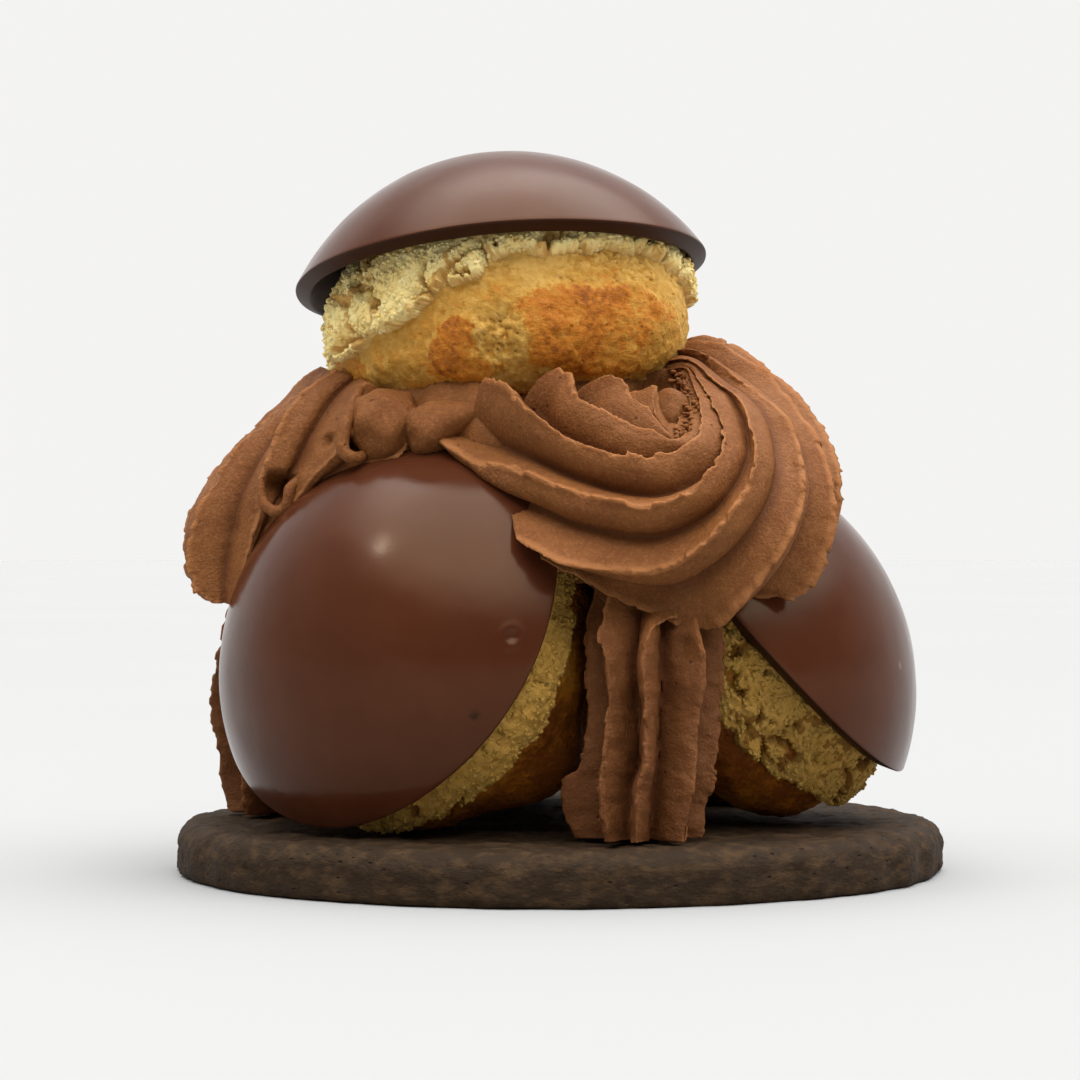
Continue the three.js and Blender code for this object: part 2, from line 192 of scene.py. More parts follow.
# Crest lines of the front column, from top to foot.
COLUMN_CRESTS = {
    "far_left": [(4.4, -27.5, 36), (2.9, -30, 28.4), (2.9, -31.5, 24.6), (3, -32, 21.3),
        (2.6, -32.5, 17.5), (1.9, -33, 14.3), (-0.1, -32.5, 12), (1.7, -32.5, 6.5)],
    "left": [(6, -30.5, 36), (4.4, -35, 28.8), (4.9, -36.6, 25.9), (5.2, -36.9, 21.6),
        (4.9, -37.3, 18.4), (4.6, -37.8, 15.2), (4.3, -38.2, 12.2), (4.7, -38.6, 6.5)],
    "middle": [(12.9, -33.2, 30.8), (9.7, -37.6, 29.2), (8.9, -38.5, 25.8), (9.2, -38.8, 21.3),
        (9.2, -39, 18.1), (9.3, -39.3, 14.9), (8.4, -39.6, 12.2), (8, -40, 6.5)],
    "right": [(13.4, -26.5, 35), (15.2, -34.6, 28.6), (15.6, -36, 24.4), (15.2, -36.5, 21.1),
        (14.9, -37, 17.9), (14.7, -37.5, 14.8), (14.2, -38, 11.6), (13.5, -38, 6.5)],
    "far_right": [(16.8, -27.5, 36), (18.1, -30, 28.4), (18.1, -30.5, 25.2), (18, -31, 21.4),
        (17.4, -31.5, 17.6), (17.1, -32, 14.1), (16.5, -32, 11.1), (15.6, -32.5, 6.5)],
    "back_right": [(15.5, -23.5, 36), (16.4, -24, 28), (16.6, -24, 25), (16.4, -24.5, 21),
        (16, -25, 17.5), (15.6, -25, 14), (15.2, -25, 11), (15, -25, 6.5)],
    "back": [(10, -21.5, 36), (10, -22, 28), (10, -22, 25), (10, -22, 21), (9.6, -22.5, 17.5),
        (9.4, -22.5, 14), (9.2, -22.5, 11), (9, -22.5, 6.5)],
    "spine": [(9.8, -26.5, 36), (9.9, -29, 29), (10, -30, 25), (10, -30.5, 21), (9.8, -31, 17.5),
        (9.5, -31.5, 14), (9.2, -31.5, 11), (9, -31.5, 6.5)],
}


# Helpers for places and meshes


def direction(azimuth, elevation=0.0):
    a = radians(azimuth)
    e = radians(elevation)
    return Vector((cos(e) * cos(a), cos(e) * sin(a), sin(e)))


def pastry_matrix(pastry, aside=0.0):
    """The frame of one chou and its shell: the origin at the middle of the shell's rim."""
    on_ring = RING_MIDDLE + RING_RADIUS * direction(pastry["azimuth"])
    x, y = pastry.get("middle", on_ring[:2])
    pole = direction(pastry["azimuth"], pastry["elevation"])
    turn = Vector((0, 0, 1)).rotation_difference(pole).to_matrix().to_4x4()
    return Matrix.Translation((x, y, pastry["rim"])) @ turn @ Matrix.Translation((aside, 0, 0))


def moved(points, matrix):
    rotation = np.array(matrix.to_3x3())
    return points @ rotation.T + np.array(matrix.translation)


def ring_turns(count):
    return np.linspace(0, 2 * np.pi, count, endpoint=False)


def revolved(radius, turns, height):
    """Points at a radius and a height, turned about the upright axis."""
    x = radius * np.cos(turns)
    return np.stack([x, radius * np.sin(turns), height + 0 * x], axis=-1)


def eased(share):
    """A share kept between 0 and 1, with a soft start and end."""
    share = np.clip(share, 0, 1)
    return share * share * (3 - 2 * share)


def near(points, centre, radius):
    """1 at a place and 0 beyond the radius, smoothly."""
    return eased(1 - np.linalg.norm(points - np.array(centre), axis=-1) / radius)


def around(turns, pairs):
    """A smooth closed curve through (turn in degrees, value) pairs, read at the given turns."""
    marks = sorted(pairs)
    first, last = marks[0], marks[-1]
    marks = [(last[0] - 360, last[1]), *marks, (first[0] + 360, first[1])]
    degrees, values = np.array(marks, dtype=float).T
    wanted = (np.degrees(turns) + 180) % 360 - 180
    upper = np.clip(np.searchsorted(degrees, wanted, side="right"), 1, len(degrees) - 1)
    share = eased((wanted - degrees[upper - 1]) / (degrees[upper] - degrees[upper - 1]))
    return values[upper - 1] * (1 - share) + values[upper] * share


def points_of(mesh):
    points = np.empty(len(mesh.vertices) * 3)
    mesh.vertices.foreach_get("co", points)
    return points.reshape(-1, 3)


def turned_outwards(mesh):
    """Flips a closed mesh whose volume comes out negative."""
    points = points_of(mesh)
    mesh.calc_loop_triangles()
    corners = np.empty(len(mesh.loop_triangles) * 3, dtype=np.int64)
    mesh.loop_triangles.foreach_get("vertices", corners)
    a, b, c = points[corners.reshape(-1, 3)].transpose(1, 0, 2)
    if np.einsum("ij,ij->i", a, np.cross(b, c)).sum() < 0:
        mesh.flip_normals()
    return mesh


def new_object(name, data):
    made = bpy.data.objects.new(name, data)
    bpy.context.scene.collection.objects.link(made)
    return made


def skin_mesh(name, grid, attributes=None):
    """A closed mesh from a grid of points in millimetres, its end rows drawn together at poles.

    grid is rows x sides x 3, with the sides going round; attributes are rows x sides arrays.
    """
    rows, sides = grid.shape[:2]
    points = np.vstack([grid.reshape(-1, 3), grid[0].mean(axis=0), grid[-1].mean(axis=0)]) * MM
    across = np.arange(sides)
    beside = (across + 1) % sides
    faces = []
    for here in range(0, (rows - 1) * sides, sides):
        there = here + sides
        ring = [here + across, here + beside, there + beside, there + across]
        faces += np.stack(ring, axis=1).tolist()
    pole = rows * sides
    last = pole - sides
    faces += [[pole, b, a] for a, b in zip(across.tolist(), beside.tolist())]
    faces += [[pole + 1, last + a, last + b] for a, b in zip(across.tolist(), beside.tolist())]
    mesh = bpy.data.meshes.new(name)
    mesh.from_pydata(points.tolist(), [], faces)
    for key, values in (attributes or {}).items():
        column = np.concatenate([values.reshape(-1), [values[0].mean(), values[-1].mean()]])
        layer = mesh.attributes.new(key, "FLOAT", "POINT")
        layer.data.foreach_set("value", column.astype(np.float32))
    return turned_outwards(mesh)


def joined(first, meshes):
    """Joins meshes into an object, keeping its attributes."""
    others = [new_object(mesh.name, mesh) for mesh in meshes]
    chosen = [first, *others]
    with bpy.context.temp_override(
        active_object=first, object=first, selected_objects=chosen, selected_editable_objects=chosen
    ):
        bpy.ops.object.join()


# Node trees


def sign(operation, swapped=False):
    """One sign of a formula, as a method of Wire; it works on numbers and on vectors."""

    def made(self, other):
        values = (other, self) if swapped else (self, other)
        if not self.is_vector:
            return self.graph.math(operation, *values)
        if operation == "MULTIPLY" and not (isinstance(other, tuple) or getattr(other, "is_vector", False)):
            return self.graph.vector("SCALE", self, scale=other)
        return self.graph.vector(operation, *values)

    return made


class Wire:
    """A node's output that can stand in a formula: each sign there adds one node."""

    def __init__(self, graph, socket):
        self.graph = graph
        self.socket = socket
        self.is_vector = socket.type in ("VECTOR", "RGBA")

    __add__ = __radd__ = sign("ADD")
    __sub__ = sign("SUBTRACT")
    __rsub__ = sign("SUBTRACT", swapped=True)
    __mul__ = sign("MULTIPLY")
    __truediv__ = sign("DIVIDE")
    __rtruediv__ = sign("DIVIDE", swapped=True)
    __pow__ = sign("POWER")
    __mod__ = sign("MODULO")
    __lt__ = sign("LESS_THAN")
    __gt__ = sign("GREATER_THAN")


class Graph:
    """Adds nodes to a tree and joins them up; a value is a number, a tuple or a Wire."""

    def __init__(self, tree):
        self.tree = tree

    def feed(self, socket, value):
        if isinstance(value, Wire):
            self.tree.links.new(value.socket, socket)
        elif socket.type == "RGBA":
            socket.default_value = (*value[:3], 1.0)
        else:
            socket.default_value = value

    def node(self, kind, feeds=None, **settings):
        made = self.tree.nodes.new(kind)
        for key, value in settings.items():
            setattr(made, key, value)
        for key, value in (feeds or {}).items():
            self.feed(made.inputs[key], value)
        return made

    def add(self, kind, feeds=None, out=0, **settings):
        return Wire(self, self.node(kind, feeds, **settings).outputs[out])

    def math(self, operation, *values, clamp=False):
        return self.add("ShaderNodeMath", dict(enumerate(values)), operation=operation, use_clamp=clamp)

    def vector(self, operation, *values, scale=None):
        feeds = dict(enumerate(values))
        if scale is not None:
            feeds["Scale"] = scale
        out = "Value" if operation in ("LENGTH", "DISTANCE", "DOT_PRODUCT") else "Vector"
        return self.add("ShaderNodeVectorMath", feeds, out, operation=operation)

    def parts(self, vector):
        made = self.node("ShaderNodeSeparateXYZ", {0: vector})
        return [Wire(self, socket) for socket in made.outputs]

    def step(self, value, low, high, start=0.0, end=1.0):
        """A smooth way from start, at the low value, to end, at the high one."""
        feeds = dict(enumerate((value, low, high, start, end)))
        return self.add("ShaderNodeMapRange", feeds, interpolation_type="SMOOTHSTEP")

    def mix(self, share, first, second, kind="FLOAT", clamped=True):
        place = ("FLOAT", "VECTOR", "RGBA").index(kind)
        feeds = {0: share, 2 + 2 * place: first, 3 + 2 * place: second}
        return self.add("ShaderNodeMix", feeds, place, data_type=kind, clamp_factor=clamped)

    def mix_colour(self, share, first, second):
        return self.mix(share, first, second, "RGBA")

    def noise(self, place, scale, detail=2.0, rough=0.5, out="Fac"):
        feeds = {"Vector": place, "Scale": scale, "Detail": detail, "Roughness": rough}
        return self.add("ShaderNodeTexNoise", feeds, out)

    def cells(self, place, scale, feature="F1"):
        """How far a place is from the middle of its cell, or from the cell's edge."""
        return self.add("ShaderNodeTexVoronoi", {"Vector": place, "Scale": scale}, feature=feature)

    def cell_number(self, place, scale):
        """A random number for each cell, from 0 to 1."""
        return self.parts(self.add("ShaderNodeTexVoronoi", {"Vector": place, "Scale": scale}, "Color"))[0]

    def attribute(self, name):
        return self.add("ShaderNodeAttribute", None, "Fac", attribute_name=name)

    def named(self, name):
        return self.add("GeometryNodeInputNamedAttribute", {"Name": name}, data_type="FLOAT")

    def stored(self, mesh, name, value):
        feeds = {"Geometry": mesh, "Name": name, "Value": value}
        return self.add("GeometryNodeStoreNamedAttribute", feeds, data_type="FLOAT", domain="POINT")


SOCKET_TYPES = {float: "Float", int: "Int", tuple: "Vector"}


def new_tree(name, kind, inputs, outputs):
    """A node group with named sockets; an input is given by its default or its socket type."""
    tree = bpy.data.node_groups.new(name, kind)
    graph = Graph(tree)
    for label, default in inputs.items():
        socket_type = SOCKET_TYPES.get(type(default), default)
        socket = tree.interface.new_socket(label, in_out="INPUT", socket_type="NodeSocket" + socket_type)
        if socket_type != default:
            socket.default_value = default
    for label, socket_type in outputs.items():
        tree.interface.new_socket(label, in_out="OUTPUT", socket_type="NodeSocket" + socket_type)
    given = {socket.name: Wire(graph, socket) for socket in tree.nodes.new("NodeGroupInput").outputs}
    result = tree.nodes.new("NodeGroupOutput").inputs
    return graph, given, result


def shape_tree(name, inputs):
    """A geometry tree that takes a shape and gives a shape of one material."""
    inputs = {"Geometry": "Geometry", **inputs, "Material": "Material"}
    return new_tree(name, "GeometryNodeTree", inputs, {"Geometry": "Geometry"})


def shape_done(graph, given, result, shape):
    """The last nodes of a geometry tree."""
    shape = graph.add("GeometryNodeSetShadeSmooth", {0: shape, "Shade Smooth": True})
    shape = graph.add("GeometryNodeRealizeInstances", {0: shape})
    shape = graph.add("GeometryNodeSetMaterial", {0: shape, "Material": given["Material"]})
    graph.feed(result[0], shape)
    return graph.tree


def shaped_by(carrier, tree, values):
    """Runs a geometry tree on an object and keeps the result as its plain mesh."""
    modifier = carrier.modifiers.new(tree.name, "NODES")
    modifier.node_group = tree
    for socket in tree.interface.items_tree:
        if socket.in_out == "INPUT" and socket.name in values:
            modifier[socket.identifier] = values[socket.name]
    depsgraph = bpy.context.evaluated_depsgraph_get()
    depsgraph.update()
    result = carrier.evaluated_get(depsgraph)
    mesh = bpy.data.meshes.new_from_object(result, preserve_all_data_layers=True, depsgraph=depsgraph)
    carrier.modifiers.remove(modifier)
    plain = carrier.data
    carrier.data = mesh
    mesh.name = carrier.name
    bpy.data.meshes.remove(plain)


def ridged_cream_tree():
    """Star-piped cream stretched over a ring of crest lines.

    The guides hold one line for each crest and the spine as their last line. Between two
    crests the surface dips towards the spine, further from the one crest than the other.
    """
    inputs = {
        "Guides": "Object",
        "Crests": 8,
        "Stations": 8,
        "Steps per station": 24,
        "Steps per crest": 16,
        "Groove depth": 0.36,
        "Groove limit": 0.62,
        "Valley": 0.67,
        "Face roundness": 1.7,
        "Bulge": 0.04,
        "Softness": 0.0,
        "Lip": 0.35 * MM,
        "Tear": 0.9,
        "Tail depth": 0.5,
        "Start depth": 0.0,
        "Serration": 0.6 * MM,
        "Serration length": 1.7 * MM,
        "Seed": 0.0,
    }
    graph, given, result = shape_tree("ridged cream", inputs)
    lines = graph.add("GeometryNodeObjectInfo", {"Object": given["Guides"]}, "Geometry")
    lines = graph.add("GeometryNodeCurveSplineType", {"Curve": lines}, spline_type="CATMULL_ROM")
    feeds = {0: lines, "Resolution": given["Steps per station"]}
    lines = graph.add("GeometryNodeSetSplineResolution", feeds)
    points = graph.add("GeometryNodeCurveToPoints", {"Curve": lines}, "Points", mode="EVALUATED")

    rows = (given["Stations"] - 1) * given["Steps per station"] + 1
    columns = given["Crests"] * given["Steps per crest"] + 1
    sheet = graph.add("GeometryNodeMeshGrid", {"Vertices X": rows + 2, "Vertices Y": columns}, "Mesh")
    index = graph.add("GeometryNodeInputIndex")
    row = graph.math("FLOOR", (index + 0.5) / columns)
    column = index - row * columns
    along = graph.math("MINIMUM", graph.math("MAXIMUM", row - 1, 0), rows - 1)
    turn = column / given["Steps per crest"]
    crest = graph.math("FLOOR", turn + 0.0001)
    share = graph.math("MAXIMUM", turn - crest, 0)
    # More rows close to the crests, where the torn edges are.
    share = share - graph.math("SINE", share * (2 * pi)) * 0.1
    place = graph.add("GeometryNodeInputPosition")

    def sampled(line):
        wanted = graph.math("ROUND", line * rows + along)
        feeds = {"Geometry": points, "Value": place, "Index": wanted}
        return graph.add("GeometryNodeSampleIndex", feeds, data_type="FLOAT_VECTOR")

    first = sampled(crest % given["Crests"])
    second = sampled((crest + 1) % given["Crests"])
    spine = sampled(given["Crests"])
    chord = graph.mix(share, first, second, "VECTOR")

    # How deep the groove is at this place: a rounded face, a valley and a steep way up.
    face = graph.math("MINIMUM", share / given["Valley"], 1)
    rest = 1 - share
    rise = graph.math("MINIMUM", rest / (1 - given["Valley"]), 1)
    dip = graph.math("SMOOTH_MIN", face ** given["Face roundness"], rise, 0.12)
    round_dip = graph.math("SINE", share * pi) ** 2
    dip = graph.mix(given["Softness"], graph.math("MAXIMUM", dip, 0), round_dip)
    tail = graph.step(row / rows, 0.0, 0.28, 1.0, 0.0)
    start = graph.step(row / rows, 0.62, 0.9)
    deeper = 1 + tail * given["Tail depth"] + start * given["Start depth"]
    spacing = graph.vector("LENGTH", first - second)
    limit = spacing * given["Groove limit"] / graph.vector("DISTANCE", chord, spine)
    depth = graph.math("MINIMUM", given["Groove depth"] * deeper, limit) * dip
    depth = depth - graph.math("SINE", face * pi) * given["Bulge"]
    surface = graph.mix(depth, chord, spine, "VECTOR", clamped=False)

    # Torn teeth along the crests.
    edge = graph.step(share, 0.0, 0.16, 1.0, 0.0)
    edge = graph.math("MAXIMUM", edge, graph.step(rest, 0.0, 0.12, 1.0, 0.0))
    seeded = graph.add("ShaderNodeCombineXYZ", {"Z": given["Seed"]})
    spot = surface * (1 / given["Serration length"]) + seeded
    teeth = graph.noise(spot, 1.0, 3.0, 0.62) - 0.5
    broad = graph.noise(spot, 0.3, 1.0) - 0.5
    torn = graph.cell_number(spot, 1.1) - 0.5
    teeth = (teeth * 1.6 + broad * 2.0 + torn * given["Tear"]) * given["Serration"]
    room = graph.math("DIVIDE", spacing, 5 * MM, clamp=True)
    outward = graph.vector("NORMALIZE", surface - spine)
    sideways = graph.vector("NORMALIZE", first - second)
    surface = surface + outward * ((teeth + given["Lip"]) * edge**1.5 * room)
    surface = surface + sideways * (teeth * (edge * room) * 0.75)
    capped = (row < 0.5) + (row > rows + 0.5)
    surface = graph.mix(capped, surface, spine, "VECTOR")
    sheet = graph.add("GeometryNodeSetPosition", {"Geometry": sheet, "Position": surface})
    # The cream's material reads these two to paint a highlight on the crests and shade in the grooves.
    sheet = graph.stored(graph.stored(sheet, "crest", edge), "groove", dip)
    sheet = graph.add("GeometryNodeMergeByDistance", {"Geometry": sheet, "Distance": 0.004 * MM})
    return shape_done(graph, given, result, sheet)


def uneven_skin_tree():
    """Lumps, wrinkles, grain and pits on a ready surface, which carries two attributes.

    "push" moves spots in or out, and "calm" keeps spots as they are.
    """
    inputs = {
        "Lump size": 6 * MM,
        "Lump height": 0.2 * MM,
        "Wrinkle size": 1.6 * MM,
        "Wrinkle height": 0.1 * MM,
        "Grain size": 0.6 * MM,
        "Grain height": 0.04 * MM,
        "Pit size": 3 * MM,
        "Pit depth": 0.0,
        "Pit share": 0.0,
        "Stretch": (1.0, 1.0, 1.0),
        "Seed": 0.0,
    }
    graph, given, result = shape_tree("uneven skin", inputs)
    seeded = graph.add("ShaderNodeCombineXYZ", {"X": given["Seed"], "Y": given["Seed"]})
    place = graph.add("GeometryNodeInputPosition") * given["Stretch"] + seeded

    def layer(kind, rough):
        wave = graph.noise(place, 1 / given[kind + " size"], 2.0, rough) - 0.5
        return wave * 2.4 * given[kind + " height"]

    rise = layer("Lump", 0.5) + layer("Wrinkle", 0.6) + layer("Grain", 0.6)
    scale = 1 / given["Pit size"]
    bowl = graph.step(graph.cells(place, scale), 0.0, 0.42, 1.0, 0.0)
    picked = graph.cell_number(place, scale) < given["Pit share"]
    rise = rise - bowl * picked * given["Pit depth"] + graph.named("push")
    rise = rise * (1 - graph.named("calm"))
    feeds = {"Geometry": given["Geometry"], "Offset": graph.add("GeometryNodeInputNormal") * rise}
    return shape_done(graph, given, result, graph.add("GeometryNodeSetPosition", feeds))


def crumbly_crust_tree():
    """Craquelin: a cracked, pitted, ragged-hemmed layer with loose crumbs stuck to it.

    The surface carries "above_hem", the distance above its lower edge in metres, and "outer",
    1 on its outer side. Where the crust has broken away it sinks below the chou's own skin.
    """
    inputs = {
        "Thickness": 1.15 * MM,
        "Chunk size": 5.5 * MM,
        "Crack width": 0.45 * MM,
        "Crack share": 0.2,
        "Hole size": 3.2 * MM,
        "Hole share": 0.3,
        "Rag": 1.3 * MM,
        "Crumb size": 0.36 * MM,
        "Crumbs per square metre": 2.3e6,
        "Seed": 0,
    }
    graph, given, result = shape_tree("crumbly crust", inputs)
    normal = graph.add("GeometryNodeInputNormal")
    place = graph.add("GeometryNodeInputPosition")
    shift = graph.add("ShaderNodeCombineXYZ", {"X": given["Seed"], "Z": given["Seed"]})
    seeded = place + shift * 0.13
    wander = graph.noise(seeded, 1 / (2.2 * MM), 2.0, 0.6, "Color") - (0.5, 0.5, 0.5)
    bent = seeded + wander * (2.2 * MM)

    rag = graph.noise(bent, 1 / (4.5 * MM), 2.0, 0.55) - 0.5
    present = graph.step(graph.named("above_hem") + rag * 3.0 * given["Rag"], -0.25 * MM, 0.85 * MM)
    seam = graph.cells(bent * (1.0, 1.0, 0.6), 1 / given["Chunk size"], "DISTANCE_TO_EDGE")
    crack = graph.step(seam * given["Chunk size"], 0.0, given["Crack width"], 1.0, 0.0)
    opening = graph.noise(seeded, 1 / (9 * MM), 1.0)
    opening = graph.step(opening, 0.62 - given["Crack share"], 0.78 - given["Crack share"])
    spotted = graph.noise(bent, 1 / given["Hole size"], 2.0, 0.6)
    hole = graph.step(spotted, given["Hole share"], given["Hole share"] + 0.05, 1.0, 0.0)
    broken = graph.math("MAXIMUM", crack * opening * 0.75, hole)

    lumps = graph.step(graph.cells(bent, 1 / (1.9 * MM), "SMOOTH_F1"), 0.1, 0.75, 1.0, 0.0)
    small = graph.step(graph.cells(seeded, 1 / (0.75 * MM)), 0.1, 0.75, 1.0, 0.0)
    grain = graph.noise(seeded, 1 / (0.8 * MM), 3.0, 0.7) - 0.5
    swell = graph.noise(seeded, 1 / (6 * MM), 1.0) - 0.5
    lumps = lumps * (0.3 * MM) + small * (0.36 * MM) + grain * (0.9 * MM)
    body = lumps + (swell * (1.3 * MM) + given["Thickness"])
    whole = present * (1 - broken * 1.7)
    rise = (body * whole - (1 - present) * (1.1 * MM)) * graph.named("outer")
    crust = graph.add("GeometryNodeSetPosition", {"Geometry": given["Geometry"], "Offset": normal * rise})
    crust = graph.stored(graph.stored(crust, "hollow", 1 - whole), "lump", lumps / MM)

    density = given["Crumbs per square metre"] * graph.named("crumb_room")
    feeds = {"Mesh": crust, "Density": density, "Seed": given["Seed"]}
    spots = graph.add("GeometryNodeDistributePointsOnFaces", feeds, "Points")
    feeds = {"Radius": given["Crumb size"], "Subdivisions": 1}
    crumb = graph.add("GeometryNodeMeshIcoSphere", feeds, "Mesh")
    rough = graph.noise(place, 0.8 / given["Crumb size"], 1.0) - 0.5
    rough = rough * (given["Crumb size"] * 1.6)
    crumb = graph.add("GeometryNodeSetPosition", {"Geometry": crumb, "Offset": normal * rough})

    def drawn(least, most):
        feeds = {0: least, 1: most, "Seed": given["Seed"]}
        return graph.add("FunctionNodeRandomValue", feeds, data_type="FLOAT_VECTOR")

    feeds = {
        "Points": spots,
        "Selection": graph.named("hollow") < 0.45,
        "Instance": crumb,
        "Rotation": drawn((0.0, 0.0, 0.0), (6.3, 6.3, 6.3)),
        "Scale": drawn((0.5, 0.5, 0.45), (1.15, 1.05, 1.0)),
    }
    crumbs = graph.add("GeometryNodeInstanceOnPoints", feeds)
    crumbs = graph.add("GeometryNodeRealizeInstances", {0: crumbs})
    both = graph.node("GeometryNodeJoinGeometry", {0: crumbs})
    graph.feed(both.inputs[0], crust)
    return shape_done(graph, given, result, Wire(graph, both.outputs[0]))


def uneven_colour_group():
    """Two colours in soft or sharp patches, put out as a colour and as the mask between them."""
    inputs = {
        "Vector": "Vector", "First": "Color", "Second": "Color",
        "Patch size": 5 * MM, "Start": 0.35, "End": 0.65,
    }
    outputs = {"Colour": "Color", "Mask": "Float"}
    graph, given, result = new_tree("uneven colour", "ShaderNodeTree", inputs, outputs)
    wave = graph.noise(given["Vector"], 1 / given["Patch size"], 4.0, 0.6)
    mask = graph.step(wave, given["Start"], given["End"])
    graph.feed(result["Colour"], graph.mix_colour(mask, given["First"], given["Second"]))
    graph.feed(result["Mask"], mask)


def fine_grain_group():
    """Grain finer than the mesh holds, as a height, with scattered pores as a mask."""
    inputs = {"Vector": "Vector", "Grain size": 0.3 * MM, "Pore size": 1.0 * MM, "Pore share": 0.1}
    outputs = {"Height": "Float", "Pores": "Float"}
    graph, given, result = new_tree("fine grain", "ShaderNodeTree", inputs, outputs)
    place = given["Vector"]
    scale = 1 / given["Pore size"]
    bowl = graph.step(graph.cells(place, scale), 0.05, 0.22, 1.0, 0.0)
    pores = bowl * (graph.cell_number(place, scale) < given["Pore share"])
    graph.feed(result["Height"], graph.noise(place, 1 / given["Grain size"], 3.0, 0.6) - pores)
    graph.feed(result["Pores"], pores)


# Materials


class Finish(Graph):
    """The graph of one material, with its shader's inputs and the object's own coordinates."""

    def __init__(self, name):
        self.material = bpy.data.materials.new(name)
        self.material.use_nodes = True
        super().__init__(self.material.node_tree)
        self.shader = next(node for node in self.tree.nodes if node.type == "BSDF_PRINCIPLED").inputs
        self.place = self.add("ShaderNodeTexCoord", None, "Object")

    def group(self, name, *values):
        """Places a shared node group, fed in the order of its inputs, and gives its outputs."""
        made = self.node("ShaderNodeGroup", dict(enumerate(values)), node_tree=bpy.data.node_groups[name])
        return [Wire(self, socket) for socket in made.outputs]

    def bumped(self, height, distance, strength=1.0):
        feeds = {"Height": height, "Distance": distance, "Strength": strength}
        return self.add("ShaderNodeBump", feeds)

    def done(self, feeds):
        """Feeds the shader's named inputs, and gives the finished material."""
        for name, value in feeds.items():
            self.feed(self.shader[name], value)
        return self.material


def cream_material(cream):
    """Whipped chocolate cream: matt and finely grained, with a painted highlight on its thin torn crests
    and painted shade in its grooves, its pores and low on the columns.
    """
    finish = Finish("whipped chocolate cream")
    place = finish.place
    faces = (cream.face_colour, cream.shade_colour)
    colour, mask = finish.group("uneven colour", place, *faces, 7 * MM, 0.38, 0.66)
    height, pores = finish.group("fine grain", place, 0.3 * MM, 1.4 * MM, 0.07)
    speckle = finish.step(finish.noise(place, 1 / (0.5 * MM), 3.0, 0.7), 0.45, 0.7, 0.0, 0.4)
    colour = finish.mix_colour(speckle, colour, cream.crest_colour)
    speckle = finish.step(finish.noise(place, 1 / (0.7 * MM), 2.0, 0.6), 0.62, 0.74, 0.0, 0.5)
    colour = finish.mix_colour(speckle, colour, cream.speck_and_groove_shade_colour)
    # Painted shade: below 36 mm the cream is painted darker, most at the foot of the columns.
    low = finish.step(finish.parts(place)[2], 24 * MM, 36 * MM, 0.55, 0.0)
    colour = finish.mix_colour(low, colour, cream.foot_shade_colour)
    # Painted shade: the grooves are painted darker towards their deepest part.
    groove = finish.step(finish.attribute("groove"), 0.45, 1.0, 0.0, 0.75)
    colour = finish.mix_colour(groove, colour, cream.speck_and_groove_shade_colour)
    # Painted highlight: the thin crests are painted lighter, less so low on the columns.
    crest = finish.step(finish.attribute("crest"), 0.55, 1.0, 0.0, 0.7) * (1 - low * 1.5)
    colour = finish.mix_colour(crest, colour, cream.crest_colour)
    feeds = {
        # Painted shade: pores are painted dark.
        "Base Color": finish.mix_colour(pores * 0.6, colour, (0.05, 0.018, 0.008)),
        "Roughness": finish.mix(mask, 0.52, 0.66),
        "Specular IOR Level": 0.11,
        "Subsurface Weight": 0.12,
        "Subsurface Radius": (1.0, 0.45, 0.25),
        "Subsurface Scale": 1.2 * MM,
        "Normal": finish.bumped(height, 0.2 * MM),
    }
    return finish.done(feeds)


def shell_material(shell):
    """Moulded chocolate: satin gloss, nearly even, with faint clouding, a few specks and painted shade on
    its rim face and inner wall.
    """
    finish = Finish("moulded chocolate shell")
    place = finish.place
    shades = (shell.colour, shell.cloud_colour)
    colour = finish.group("uneven colour", place, *shades, 14 * MM, 0.3, 0.75)[0]
    height, pores = finish.group("fine grain", place, 0.5 * MM, 3.5 * MM, 0.02)
    cut = finish.attribute("cut")
    colour = finish.mix_colour(pores, colour, (0.16, 0.09, 0.055))
    # Painted shade: the rim face and the inner wall are painted nearly black.
    colour = finish.mix_colour(cut * 0.85, colour, (0.018, 0.0045, 0.002))
    colour = finish.mix_colour(finish.attribute("speck"), colour, (0.002, 0.001, 0.001))
    smear = finish.noise(place, 1 / (9 * MM), 3.0, 0.6)
    rough = finish.step(smear, 0.3, 0.7, shell.roughness - 0.04, shell.roughness + 0.05)
    feeds = {
        "Base Color": colour,
        "Roughness": finish.mix(cut, rough, 0.5),
        "Specular IOR Level": 0.2,
        "Specular Tint": (1.0, 0.775, 0.53),
        "Normal": finish.bumped(height, 0.012 * MM, 0.6),
    }
    return finish.done(feeds)


